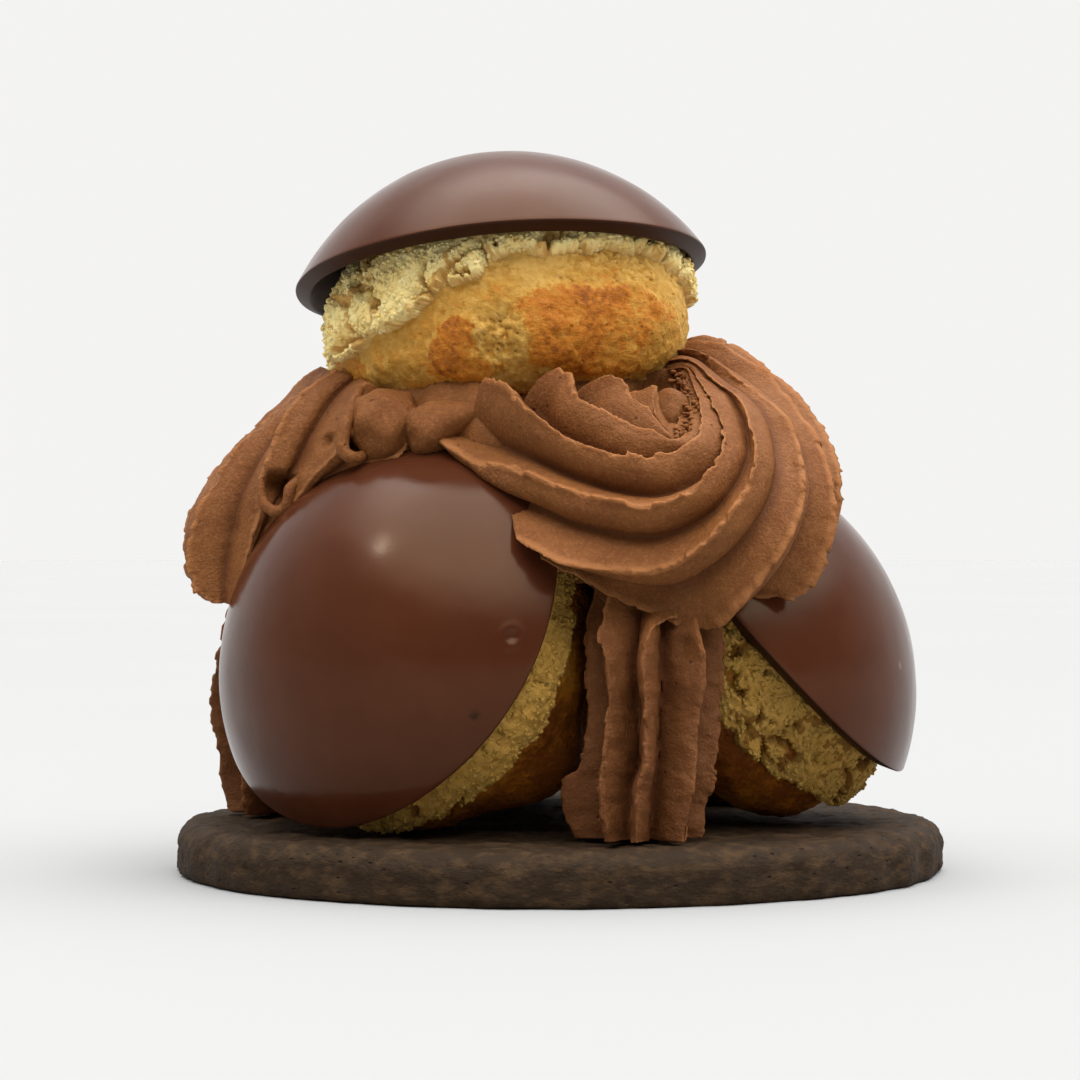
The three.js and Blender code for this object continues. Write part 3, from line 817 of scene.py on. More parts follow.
def crust_material(pastry):
    """Craquelin: pale sugar-and-butter crumble with sugar glints; its hollows and pores are darker, partly
    toasted and partly painted shade, and on the lower choux all of it is painted darker as painted shade.
    """
    finish = Finish("craquelin crumble")
    place = finish.place
    crumbs = (pastry.crumb_colour, pastry.crumb_dark_colour)
    colour = finish.group("uneven colour", place, *crumbs, 3.2 * MM, 0.42, 0.7)[0]
    height, pores = finish.group("fine grain", place, 0.4 * MM, 1.1 * MM, 0.16)
    hollow = finish.step(finish.attribute("hollow"), 0.15, 0.9, 0.0, 0.85)
    # Painted shade: this attribute paints the craquelin of the lower choux darker, in its crumble, peaks,
    # specks and hollows.
    toast = finish.attribute("toast")
    colour = finish.mix_colour(toast * 0.75, colour, pastry.shaded_crumb_colour)
    peak = finish.step(finish.attribute("lump"), 0.25, 0.75, 0.0, 0.55)
    pale = finish.mix_colour(toast, (0.96, 0.82, 0.43), (0.6, 0.36, 0.088))
    colour = finish.mix_colour(peak, colour, pale)
    speckle = finish.step(finish.noise(place, 1 / (0.45 * MM), 2.0, 0.6), 0.6, 0.8, 0.0, 0.4)
    pale = finish.mix_colour(toast, (0.94, 0.8, 0.42), (0.58, 0.35, 0.085))
    colour = finish.mix_colour(speckle, colour, pale)
    # Pores are painted toasted brown: partly the crumb's colour, partly painted shade.
    colour = finish.mix_colour(pores * 0.55, colour, pastry.toasted_colour)
    # Hollows are painted darker: partly toasted, partly painted shade, darkest on the lower choux.
    deep = finish.mix_colour(toast, pastry.toasted_colour, (0.2, 0.085, 0.014))
    glint = finish.step(finish.noise(place, 1 / (0.5 * MM), 1.0), 0.66, 0.74, 0.78, 0.3)
    feeds = {
        "Base Color": finish.mix_colour(hollow, colour, deep),
        "Roughness": finish.mix(hollow, glint, 1.0),
        "Specular IOR Level": 0.14,
        "Subsurface Weight": 0.2,
        "Subsurface Radius": (1.0, 0.7, 0.35),
        "Subsurface Scale": 1.0 * MM,
        "Normal": finish.bumped(height, 0.3 * MM),
    }
    return finish.done(feeds)


def chou_material(pastry):
    """Baked choux: pale and open where it tore, golden to brown where it took colour; on the lower choux
    the browning is partly painted shade.
    """
    finish = Finish("baked choux")
    place = finish.place
    bake = finish.attribute("bake")
    mottle = finish.noise(place, 1 / (2.6 * MM), 4.0, 0.65) - 0.5
    fleck = finish.noise(place, 1 / (0.6 * MM), 3.0, 0.65) - 0.5
    patch = finish.step(finish.attribute("patch") + (mottle * 1.2 + fleck * 0.6), 0.36, 0.68)
    strands = finish.noise(place * (0.6, 0.6, 1.3), 1 / (1.1 * MM), 4.0, 0.75) - 0.5
    tone = bake + mottle * 0.7 + fleck * 0.65 + strands * 0.6 + patch * 0.34
    ramp = finish.node("ShaderNodeValToRGB", {0: tone})
    marks = ramp.color_ramp.elements
    marks[0].position = 0.12
    marks[0].color = (*pastry.pale_colour, 1.0)
    marks[1].color = (*pastry.dark_colour, 1.0)
    marks.new(0.42).color = (*pastry.golden_colour, 1.0)
    marks.new(0.7).color = (*pastry.brown_colour, 1.0)
    height, pores = finish.group("fine grain", place, 0.5 * MM, 1.3 * MM, 0.22)
    open_crumb = finish.step(bake, 0.5, 0.15, 0.0, 1.0)
    baked = Wire(finish, ramp.outputs["Color"])
    feeds = {
        # Pores in the open crumb are painted browner: partly the crumb's colour, partly painted shade.
        "Base Color": finish.mix_colour(pores * open_crumb * 0.5, baked, pastry.brown_colour),
        "Roughness": finish.step(tone, 0.2, 0.8, 0.72, 0.46),
        "Specular IOR Level": 0.16,
        "Subsurface Weight": 0.1,
        "Subsurface Radius": (1.0, 0.5, 0.2),
        "Subsurface Scale": 1.0 * MM,
        "Normal": finish.bumped(height + strands * 1.2, 0.22 * MM),
    }
    return finish.done(feeds)


def biscuit_material(base):
    """Dark chocolate biscuit, partly darkened as painted shade, coarse and striped where its layers show at
    the edge, with painted shade in its pores.
    """
    finish = Finish("chocolate biscuit")
    layers = finish.place * (0.7, 0.7, 1.4)
    shades = (base.colour, base.light_colour)
    colour, mask = finish.group("uneven colour", layers, *shades, 1.6 * MM, 0.42, 0.72)
    height, pores = finish.group("fine grain", layers, 0.5 * MM, 1.2 * MM, 0.3)
    feeds = {
        # Painted shade: pores are painted nearly black.
        "Base Color": finish.mix_colour(pores * 0.8, colour, (0.012, 0.006, 0.004)),
        "Roughness": finish.mix(mask, 0.72, 0.88),
        "Specular IOR Level": 0.12,
        "Normal": finish.bumped(height, 0.2 * MM),
    }
    return finish.done(feeds)


def floor_material():
    """Pale matt floor, very slightly uneven."""
    finish = Finish("pale floor")
    tone = finish.step(finish.noise(finish.place, 3.0), 0.3, 0.7)
    colour = finish.mix_colour(tone, (0.325, 0.326, 0.328), (0.33, 0.331, 0.333))
    return finish.done({"Base Color": colour, "Roughness": 0.9, "Specular IOR Level": 0.1})


# Shapes of the pieces


def skinned(made, tree, material, seed, bumps, pits=(3.0, 0.0, 0.0), stretch=(1.0, 1.0, 1.0)):
    """Gives a piece its uneven skin.

    bumps are the sizes and heights of its lumps, wrinkles and grain, and pits are a size, a
    depth and a share of the skin; lengths are in millimetres.
    """
    values = {"Stretch": stretch, "Seed": float(seed), "Material": material}
    for kind, (size, height) in zip(("Lump", "Wrinkle", "Grain"), bumps):
        values[kind + " size"] = size * MM
        values[kind + " height"] = height * MM
    values["Pit size"] = pits[0] * MM
    values["Pit depth"] = pits[1] * MM
    values["Pit share"] = pits[2]
    shaped_by(made, tree, values)


def finish_piece(made, node):
    """Hands a finished piece over to the frame: it rides on the body and stands for its node."""
    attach(made, "root")
    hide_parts(node)


def chou_surface(turns, rounds, offset, seed):
    """The chou's outline as in the CAD part: arrays of x, y and z in its own frame."""
    sine = np.sin(rounds)
    power = np.where(sine < 0, CHOU_SQUARENESS, 1.0)
    height = np.where(sine < 0, CHOU_DROP, CHOU_CROWN)
    z = CHOU_WIDEST + np.sign(sine) * (height + offset) * np.abs(sine) ** power
    bare = 1 - eased((z - CHOU_WIDEST) / -CHOU_WIDEST)
    uneven = CHOU_LUMP * bare * (np.sin(3 * turns + seed) + 0.7 * np.sin(5 * turns + 2 * seed))
    radius = (CHOU_RADIUS * (1 + uneven) + offset) * np.abs(np.cos(rounds)) ** power
    return revolved(radius, turns, z)


def chou_rounds(count):
    """Angles from the crown's pole to the bottom's, closer together below the shell's rim."""
    along = np.linspace(0.002, 0.998, 3000)
    outline = chou_surface(0 * along, (0.5 - along) * np.pi, 0.0, 0.0)
    steps = np.hypot(np.diff(outline[:, 0]), np.diff(outline[:, 2]))
    steps = steps * np.where(outline[:-1, 2] > 1.5, 0.3, 1.0)
    travelled = np.concatenate([[0], np.cumsum(steps)])
    return (0.5 - np.interp(np.linspace(0, travelled[-1], count), travelled, along)) * np.pi


def layered_noise(points, roughness, scale=1.0):
    """Noise of three octaves at each point of a grid."""
    spots = points.reshape(-1, 3)
    values = [noise.fractal(Vector(spot) * scale, roughness, 2.0, 3) for spot in spots]
    return np.reshape(values, points.shape[:-1])


def catmull_rom(points, steps):
    """A smooth line through points, as rows of coordinates."""
    marks = np.array(points, dtype=float)
    marks = np.vstack([2 * marks[0] - marks[1], marks, 2 * marks[-1] - marks[-2]])
    line = []
    for span in range(len(marks) - 3):
        a, b, c, d = marks[span : span + 4]
        for share in np.arange(steps) / steps:
            bend = (2 * a - 5 * b + 4 * c - d) * share**2 + (3 * b - a - 3 * c + d) * share**3
            line.append(0.5 * (2 * b + (c - a) * share + bend))
    line.append(marks[-2])
    return np.array(line)


def bead_mesh(name, points, thick):
    """A smooth bead of cream laid along a line, thinner at its ends; thick is its radius."""
    line = catmull_rom(points, 10)
    tangent = np.gradient(line, axis=0)
    tangent /= np.linalg.norm(tangent, axis=1)[:, None]
    aside = np.cross(tangent, np.array([0.31, 0.9, 0.3]))
    aside /= np.linalg.norm(aside, axis=1)[:, None]
    other = np.cross(tangent, aside)
    bulge = thick * (0.35 + 0.65 * np.sin(np.pi * np.linspace(0, 1, len(line))) ** 0.4)
    bulge[[0, -1]] *= 0.4
    turns = ring_turns(14)[None, :, None]
    ring = np.cos(turns) * aside[:, None, :] + np.sin(turns) * other[:, None, :]
    return skin_mesh(name, line[:, None, :] + ring * bulge[:, None, None])


def blob_mesh(name, centre, radii, point=(0, 0, 0), seed=0.0, sides=48, rows=30):
    """A rounded lump of cream; point pulls the side facing that way out to a tip."""
    rounds = np.linspace(0.49 * np.pi, -0.49 * np.pi, rows)[:, None]
    unit = revolved(np.cos(rounds), ring_turns(sides), np.sin(rounds))
    grid = unit * np.array(radii)
    for spot in grid.reshape(-1, 3):
        spot *= 1 + 0.16 * noise.noise(Vector(spot) * 0.4 + Vector((seed, 0, seed)))
    pull = np.array(point, dtype=float)
    if pull.any():
        facing = np.clip(unit @ (pull / np.linalg.norm(pull)), 0, 1)
        grid = grid + (facing**5)[..., None] * pull
    return skin_mesh(name, grid + np.array(centre))


def guide_lines(name, crests):
    """A curve object that holds the crest lines and, last, the spine."""
    curve = bpy.data.curves.new(name, "CURVE")
    curve.dimensions = "3D"
    for line in crests.values():
        spline = curve.splines.new("POLY")
        spline.points.add(len(line) - 1)
        for point, place in zip(spline.points, line):
            point.co = (place[0] * MM, place[1] * MM, place[2] * MM, 1)
    return new_object(name, curve)


def piped(name, crests, kit, cream, seed, changes):
    """One stroke of star-piped cream over its crest lines; changes are inputs of the node tree."""
    guides = guide_lines(name + "_guides", crests)
    stroke = new_object(name, bpy.data.meshes.new(name))
    values = {
        "Guides": guides,
        "Crests": len(crests) - 1,
        "Stations": len(crests["spine"]),
        "Groove depth": cream.groove_depth,
        "Valley": cream.valley,
        "Lip": cream.lip,
        "Serration": cream.serration,
        "Serration length": cream.serration_length,
        "Seed": float(seed),
        "Material": kit["cream_material"],
    }
    shaped_by(stroke, kit["ridged"], values | changes)
    curve = guides.data
    bpy.data.objects.remove(guides)
    bpy.data.curves.remove(curve)
    turned_outwards(stroke.data)
    return stroke


def grained(made, kit, cream, seed, lump=None, wrinkle=0.09):
    """The last pass on cream: soft lumps, drag marks and grain; lump is a size and a height."""
    bumps = (lump or (5, cream.lump / MM), (1.3, wrinkle), (0.55, cream.grain / MM))
    skinned(made, kit["skin"], kit["cream_material"], seed, bumps, (3.0, 0.25, 0.05))


def dented(mesh, dents):
    """Pushes hollows into a mesh: each dent is its middle, radius and push, in millimetres."""
    points = points_of(mesh)
    for middle, radius, push in dents:
        points += near(points / MM, middle, radius)[:, None] * np.array(push) * MM
    mesh.vertices.foreach_set("co", points.ravel())
    mesh.update()


def column_crests(azimuth, seed, crests=8, stations=8):
    """Crest lines of a column by rule: evenly spaced, wavering as the piping hand did."""
    foot, height, half_width = 6.4, 29.0, 7.6
    lines = {"crest_%d" % number: [] for number in range(crests)}
    lines["spine"] = []
    for station in range(stations):
        rise = 1 - station / (stations - 1)
        out = 33.8 - 3 * (1 - eased(rise / 0.5)) - 5 * rise**3
        middle = RING_MIDDLE + direction(azimuth) * out
        middle.z = foot + rise * height
        lines["spine"].append(tuple(middle))
        for number in range(crests):
            waver = noise.noise(Vector((number * 2.7, station * 0.55, seed)))
            angle = azimuth + 360 * (number + 0.5) / crests + 16 * waver
            waver = noise.noise(Vector((station * 0.7, number * 1.9, seed + 5)))
            reach = half_width + 1.1 * waver
            reach += 0.6 if station > 5 else 0
            reach *= 0.55 if station == 0 else 1.0
            lines["crest_%d" % number].append(tuple(middle + reach * direction(angle)))
    return lines


def make_base(kit, sides):
    """The biscuit disc: a rounded upper edge, a small foot, and a ragged outline."""
    edge, foot = 2.6, 0.9
    arc = np.linspace(0, np.pi / 2, 9)
    rim = BASE_RADIUS - edge
    outline = [
        (np.linspace(1, rim, 60), np.full(60, BASE_THICKNESS)),
        (rim + edge * np.sin(arc[1:]), BASE_THICKNESS - edge + edge * np.cos(arc[1:])),
        ([BASE_RADIUS] * 4, np.linspace(2.9, foot, 4)),
        (BASE_RADIUS - foot + foot * np.cos(arc[3::2]), foot - foot * np.sin(arc[3::2])),
        ([40, 20, 1], [0, 0, 0]),
    ]
    radii, heights = np.hstack(outline)[..., None]
    turns = ring_turns(sides)
    wobble = 1 + (0.3 / BASE_RADIUS) * (np.sin(3 * turns + 1) + 0.6 * np.sin(7 * turns)) * 0.6
    rough = np.array([noise.noise(Vector((cos(turn), sin(turn), 0)) * 9) for turn in turns])
    flat = radii * np.where(radii > 30, wobble * (1 + (0.5 / BASE_RADIUS) * rough), 1.0)
    calm = np.where(heights < 0.35, 1.0, 0.0) + 0 * flat
    mesh = skin_mesh("fine_base_biscuit", revolved(flat, turns, heights), {"calm": calm})
    disc = new_object("fine_base_biscuit", mesh)
    bumps = ((7, 0.3), (2.2, 0.3), (0.9, 0.22))
    material = kit["biscuit_material"]
    skinned(disc, kit["skin"], material, 3, bumps, (2.4, 0.5, 0.3), (0.75, 0.75, 1.4))
    finish_piece(disc, "base_biscuit")


def torn_and_browned(grid, local):
    """How far each spot of the top chou is pushed out, in mm, how baked it is, and its patches."""
    waves = layered_noise(grid, 1.0, 0.09)
    # The front is browned in two patches with a torn, paler seam between them.
    push = 0.35 * waves
    bake = 0.3 + 0.3 * waves
    patch = np.zeros(waves.shape)
    patches = (
        ((4.8, -20, 62.7), (10.6, 12, 5.8)),
        ((-10.6, -20, 60.2), (4.8, 12, 4.0)),
        ((-24, -7, 57), (5, 7, 3)),
        ((-8, 19, 60), (12, 9, 5)),
        ((14, 8, 60), (6, 9, 4)),
    )
    for middle, reach in patches:
        away = np.linalg.norm((grid - np.array(middle)) / np.array(reach), axis=-1) + 0.3 * waves
        inside = eased((1.3 - away) / 0.6)
        patch = np.maximum(patch, inside)
        push = push + 0.45 * np.clip(inside * 2 - 0.5, 0, 1)
    seam = near(grid, (-6.4, -21.5, 61.6), 4.8) * (0.8 + 1.4 * waves)
    strands = 1 - np.clip(np.abs(layered_noise(grid * (1.1, 0.9, 0.55), 0.8)) * 4, 0, 1)
    push = push - (0.45 + 0.5 * strands) * np.clip(1.6 * seam, 0, 1) - 0.18 * strands
    bake = bake - 0.06 * np.clip(seam, 0, 1) + (0.08 + 0.25 * np.clip(seam, 0, 1)) * strands
    patch = patch * (1 - np.clip(2 * seam, 0, 1))
    # Under the craquelin the skin is shredded: raised pale strands over browner hollows.
    upper = np.clip((local[..., 2] + 7) / 3, 0, 1)
    drawn = layered_noise(grid * (0.5, 0.5, 1.2) - grid[..., :1] * (0, 0, 0.3), 0.7)
    shreds = 1 - np.clip(np.abs(drawn) * 3.2, 0, 1)
    ragged = upper * np.clip(0.75 + 1.2 * waves, 0, 1)
    push = push + ragged * (0.6 * shreds - 0.35)
    bake = bake - 0.14 * upper - 0.12 * near(grid, (-23, -13, 58), 9) + ragged * (0.16 - 0.36 * shreds)
    return push, bake, patch


def make_chou(kit, name, pastry):
    """One chou: the top one is finer and torn, the others fill the gap behind the front column."""
    top = name == "top"
    sides, rows = (400, 130) if top else (250, 84)
    local = chou_surface(ring_turns(sides), chou_rounds(rows)[:, None], 0.0, 1.7 * pastry["number"])
    grid = moved(local, pastry_matrix(pastry, pastry.get("aside", 0.0)))
    if top:
        push, bake, patch = torn_and_browned(grid, local)
    else:
        waves = layered_noise(grid, 1.0, 0.09)
        push = 0.5 * waves + 6.0 * near(grid, (0.5, -17.5, 12), 11)
        # The lower choux are browner all over and further down: partly baking, partly painted shade.
        bake = 0.5 + 0.4 * np.clip(-local[..., 2] / 14, 0, 1) + 0.5 * waves
        patch = np.full(waves.shape, 0.2)
    kept = {"push": push * MM, "bake": bake, "patch": patch}
    chou = new_object("fine_chou_" + name, skin_mesh("fine_chou_" + name, grid, kept))
    bumps = ((7, 0.45), (2, 0.3), (0.8, 0.2))
    seed = 0.11 * pastry["number"]
    skinned(chou, kit["skin"], kit["chou_material"], seed, bumps, (1.8, 0.35, 0.22))
    finish_piece(chou, "chou_" + name)


def make_craquelin(kit, thickness, name, pastry):
    """The craquelin of one chou, from under its shell down to its hem.

    Its outer side starts a little over the chou's skin, and its inner side lies well inside.
    """
    sides = 480
    row_height = 0.24
    over, under = 0.15, -2.2
    seed = 1.7 * pastry["number"]
    turns = ring_turns(sides)
    hem = around(turns, pastry["hem"])
    lowest = hem.min() + under
    # A few rows under the shell, then many from its rim down, where the craquelin shows.
    rounds = np.linspace(0.49 * np.pi, -0.45 * np.pi, 2000)
    heights = chou_surface(0 * rounds, rounds, over, seed)[:, 2]
    crown = np.interp(np.linspace(-1.6, -8, 8), -heights, rounds)[::-1]
    band_rows = int((1.3 - lowest) / row_height)
    band = np.interp(np.linspace(-1.3, -lowest, band_rows), -heights, rounds)
    outside = np.concatenate([crown, band])
    inside = np.concatenate([band[::-6], crown[::-2]])
    rounds = np.concatenate([outside, inside])[:, None]
    outer = np.concatenate([np.ones(len(outside)), np.zeros(len(inside))])[:, None]
    local = chou_surface(turns, rounds, np.where(outer > 0.5, over, under), seed)
    grid = moved(local, pastry_matrix(pastry, pastry.get("aside", 0.0)))
    above = (local[..., 2] - hem) * MM
    outer = outer + 0 * above
    room = outer * (local[..., 2] < 1.0) * (above > 0.1 * MM)
    kept = {
        "above_hem": above,
        "outer": outer,
        "crumb_room": room,
        # How much painted shade darkens this craquelin.
        "toast": np.full(above.shape, pastry["toast"]),
    }
    crust = new_object("fine_craquelin_" + name, skin_mesh("fine_craquelin_" + name, grid, kept))
    values = {
        "Thickness": thickness,
        "Chunk size": pastry["chunk"] * MM,
        "Crack share": pastry["cracks"],
        "Hole share": pastry["holes"],
        "Rag": pastry["rag"] * MM,
        "Crumbs per square metre": pastry["crumbs"] * 1e6,
        "Seed": 11 + pastry["number"],
        "Material": kit["crust_material"],
    }
    shaped_by(crust, kit["crust"], values)
    finish_piece(crust, "craquelin_" + name)


def make_shell(kit, sides, name, pastry):
    """One moulded shell: a dome with an inner wall, and a rim with rounded corners."""
    lip = 0.28
    speck_radius = 0.4
    outer_rows, inner_rows = 76, 24
    inner = SHELL_RADIUS - SHELL_WALL
    number = pastry["number"]
    turns = ring_turns(sides)
    edge = radians(SHELL_HALF_ANGLE) + 0.004 * np.sin(2 * turns + number) + 0.002 * np.sin(5 * turns)
    reach = edge - lip / SHELL_RADIUS
    corner = np.linspace(0, np.pi / 2, 5)[:, None]
    polar = [
        np.linspace(0.012, 1, outer_rows)[:, None] * reach,
        edge - (lip - lip * np.sin(corner[1:])) / SHELL_RADIUS,
        edge - (lip - lip * np.cos(corner[:-1])) / SHELL_RADIUS,
        np.linspace(1, 0.03, inner_rows)[:, None] * reach,
    ]
    radius = [
        np.full((outer_rows, 1), SHELL_RADIUS),
        SHELL_RADIUS - lip + lip * np.cos(corner[1:]),
        inner + lip - lip * np.sin(corner[:-1]),
        np.full((inner_rows, 1), inner),
    ]
    polar, radius = np.concatenate(polar), np.concatenate(radius)
    drop = SHELL_RADIUS * cos(radians(SHELL_HALF_ANGLE))
    local = revolved(radius * np.sin(polar), turns, radius * np.cos(polar) - drop)
    grid = moved(local, pastry_matrix(pastry))
    push = np.zeros(grid.shape[:2])
    speck = np.zeros(grid.shape[:2])
    for middle, size, depth, rim in pastry["marks"]:
        away = np.linalg.norm(grid - np.array(middle), axis=-1)
        speck += (rim == 0.0) * np.exp(-((away / speck_radius) ** 2))
        push -= depth * np.exp(-((away / size) ** 2) * 2)
        push += rim * np.exp(-(((away - 1.35 * size) / (0.4 * size)) ** 2))
    # cut marks the rim face and the inner wall, which the material paints nearly black as painted shade.
    cut = np.zeros(grid.shape[:2])
    cut[outer_rows + 1 :] = 1.0
    kept = {"push": push * MM, "cut": cut, "speck": speck}
    shell = new_object("fine_shell_" + name, skin_mesh("fine_shell_" + name, grid, kept))
    bumps = ((16, 0.16), (5, 0.012), (2, 0.0))
    skinned(shell, kit["skin"], kit["shell_material"], 0.3 * number, bumps)
    finish_piece(shell, "shell_" + name)


def make_bed(kit, cream):
    """The heap of cream between the choux, hollowed a little where the front rosette lies."""
    outline = [(1, 38, 0), (8, 38, 0), (14, 39.5, 0), (20.5, 43.5, 0), (23.3, 48, 0), (23, 53, 0),
               (20, 57.5, 0), (15, 59.4, 0), (8, 59.6, 0), (1, 59.7, 0)]
    outline = catmull_rom(outline, 9)
    turns = ring_turns(240)
    flute = 1 + 0.035 * np.abs(np.sin(11 * turns)) + 0.02 * np.sin(3 * turns)
    flat = outline[:, :1] * np.where(outline[:, :1] > 12, flute, 1.0)
    grid = revolved(flat, turns, outline[:, 1:2]) + np.array(RING_MIDDLE)
    bed = new_object("fine_cream_bed", skin_mesh("fine_cream_bed", grid))
    dents = [
        ((-2, -23, 57), 9, (0.0, 4.0, -3.0)),
        ((8, -21, 57), 8, (-1.0, 4.0, -2.5)),
        ((13.5, -17.5, 57.5), 7, (-3.0, 6.0, -3.0)),
    ]
    dented(bed.data, dents)
    grained(bed, kit, cream, 5)
    finish_piece(bed, "cream_bed")


def make_column(kit, cream, name, crests, seed):
    """One upright stroke between two choux, with soft folds and short teeth."""
    changes = {
        "Steps per station": 20,
        "Steps per crest": 28,
        "Groove depth": 0.62,
        "Groove limit": 0.95,
        "Valley": 0.54,
        "Face roundness": 2.0,
        "Softness": 0.85,
        "Lip": 0.0,
        "Serration": 0.45 * MM,
        "Serration length": 1.9 * MM,
        "Tail depth": 0.0,
        "Tear": 0.8,
    }
    stroke = piped("fine_cream_column_" + name, crests, kit, cream, seed, changes)
    if name == "front":
        dented(stroke.data, [((12.6, -36.5, 28.0), 3.4, (0.0, 3.0, 0.0))])
    grained(stroke, kit, cream, seed, (2.8, 0.45), 0.2)
    finish_piece(stroke, "cream_column_" + name)


def coiled(crests, end, shrink):
    """Adds a last station to crest lines, drawn together about an end point out of sight."""
    last = Vector(crests["spine"][-1])
    return {
        name: line + [tuple(Vector(end) + (Vector(line[-1]) - last) * shrink)]
        for name, line in crests.items()
    }


def make_front_rosette(kit, cream, coil):
    """The swirl at the front, with a crumbly torn strip in its middle."""
    changes = {
        "Steps per crest": 24,
        "Steps per station": 22,
        "Tail depth": 0.2,
        "Start depth": 0.6,
        "Groove limit": 0.8,
    }
    front = piped("fine_cream_rosette_front", coil, kit, cream, 7, changes)
    pieces = [blob_mesh("pad", (12.5, -19.9, 52.6), (2.6, 3.4, 3.6), seed=2)]
    strip = [(13.7, -14.5, 57.5), (14.6, -18, 56), (15.1, -21.5, 54.4), (15.3, -25, 52.8),
             (14.9, -28.5, 51), (13, -30.6, 50.2)]
    # Without a seed of their own, the crumbs would lie differently each time.
    noise.seed_set(7)
    for number, spot in enumerate(catmull_rom(strip, 58)):
        waver = noise.noise_vector(Vector((number * 7.3, 4.2, 0.5)))
        size = 0.26 + 0.24 * noise.noise(Vector((number * 5.1, 0.3, 9.1)))
        middle = Vector(spot) + Vector((2.4 * waver.x, 0.45 + 0.8 * waver.y, 1.4 * waver.z))
        radii = (size * (1 + 0.8 * waver.y), size, size * (1 + 0.8 * waver.x))
        pieces.append(blob_mesh("crumb", middle, radii, seed=number, sides=9, rows=6))
    joined(front, pieces)
    grained(front, kit, cream, 7)
    finish_piece(front, "cream_rosette_front")


def make_left_rosette(kit, cream):
    """The fold at the left, with two rounded lobes and two curled beads over the shell."""
    changes = {"Steps per crest": 18, "Groove depth": 0.34, "Valley": 0.6, "Tail depth": 0.0}
    left = piped("fine_cream_rosette_left", LEFT_CRESTS, kit, cream, 19, changes)
    dents = [
        ((-32.0, -14.5, 44.8), 2.6, (0.8, 4.2, 0.6)),
        ((-26.2, -18.5, 50.2), 1.5, (0.4, 1.6, 0.0)),
        ((-23.4, -21.0, 49.4), 1.5, (0.0, 4.0, 0.0)),
    ]
    dented(left.data, dents)
    curl = [(-34.1, -13.8, 46), (-33.8, -14.6, 43.7), (-32.9, -15.2, 42.4), (-31.6, -15.6, 42.2),
            (-30.7, -16, 43.1), (-30.5, -16, 44.6), (-29.6, -15.2, 45.6), (-28.4, -14.4, 46)]
    hook = [(-22.3, -16.8, 56.4), (-23.2, -19.2, 54), (-24, -20.6, 51.5), (-24.3, -21, 50.1),
            (-24.1, -21.4, 48.8), (-23.3, -21.4, 48.2), (-22.4, -20.8, 48.2), (-21.6, -19.6, 48.8)]
    pieces = [
        blob_mesh("ball", (-19.5, -18.0, 51.6), (4.4, 4.7, 4.3), seed=1),
        blob_mesh("tip", (-14.5, -20.8, 51.2), (3.0, 3.2, 3.1), (3.4, -0.8, 1.4), seed=4),
        bead_mesh("curl", curl, 0.7),
        bead_mesh("hook", hook, 0.8),
    ]
    joined(left, pieces)
    grained(left, kit, cream, 19)
    finish_piece(left, "cream_rosette_left")


def make_back_rosette(kit, cream, coil):
    """The swirl at the back: the front one, turned by a third of a circle and lowered."""
    turn = Matrix.Rotation(radians(120), 3, "Z")
    middle = RING_MIDDLE - Vector((0, 0, 2))
    turned = {
        name: [tuple(turn @ (Vector(place) - RING_MIDDLE) + middle) for place in line]
        for name, line in coil.items()
    }
    changes = {"Steps per station": 22, "Tail depth": 0.2, "Start depth": 0.9}
    back = piped("fine_cream_rosette_back", turned, kit, cream, 23, changes)
    grained(back, kit, cream, 23)
    finish_piece(back, "cream_rosette_back")


# Floor, light and camera


def make_floor():
    """A wide pale floor of three rings round a middle, as bright as the horizon around it."""
    sides = 96
    radii = np.array([[20], [600], [2000], [6000]])
    points = revolved(radii, ring_turns(sides), 0.0).reshape(-1, 3) * MM
    faces = []
    for ring in range(0, (len(radii) - 1) * sides, sides):
        for side in range(sides):
            beside = (side + 1) % sides
            faces.append((ring + sides + side, ring + sides + beside, ring + beside, ring + side))
    faces.append(tuple(range(sides)))
    mesh = bpy.data.meshes.new("floor")
    mesh.from_pydata(points.tolist(), [], faces)
    mesh.shade_smooth()
    mesh.materials.append(floor_material())
    new_object("floor", mesh)


def make_surroundings(settings):
    """Bright overhead, white along the horizon and behind, dimmer where the viewer stands."""
    world = bpy.data.worlds.new("white surroundings")
    world.use_nodes = True
    graph = Graph(world.node_tree)
    heading = graph.add("ShaderNodeTexCoord", None, "Generated")
    x, y, z = graph.parts(heading)
    leftwards = graph.step(x, -0.9, -0.35, 1.0, 0.0)
    walls = leftwards * settings.window + settings.front
    walls = graph.mix(graph.step(y, -0.25, 0.6), walls, settings.sky)
    light = graph.mix(graph.step(z, 0.03, 0.15, 1.0, 0.0), walls, settings.sky)
    above = graph.step(graph.vector("DOT_PRODUCT", heading, (0.15, -0.12, 0.98)), 0.55, 0.88)
    background = next(node for node in world.node_tree.nodes if node.type == "BACKGROUND").inputs
    graph.feed(background["Color"], (1.0, 0.995, 0.985))
    graph.feed(background["Strength"], graph.mix(above, light, settings.overhead))
    return world


def make_lamp(power):
    """A small rectangular lamp, high up at the left, for the sharpest reflections."""
    lamp = bpy.data.lights.new("window", "AREA")
    lamp.shape = "RECTANGLE"
    lamp.size = LAMP_SIDES[0] * MM
    lamp.size_y = LAMP_SIDES[1] * MM
    lamp.energy = power
    made = new_object("window", lamp)
    made.location = Vector(LAMP_PLACE) * MM
    aim = Vector(LAMP_TARGET) - Vector(LAMP_PLACE)
    made.rotation_euler = aim.to_track_quat("-Z", "Y").to_euler()


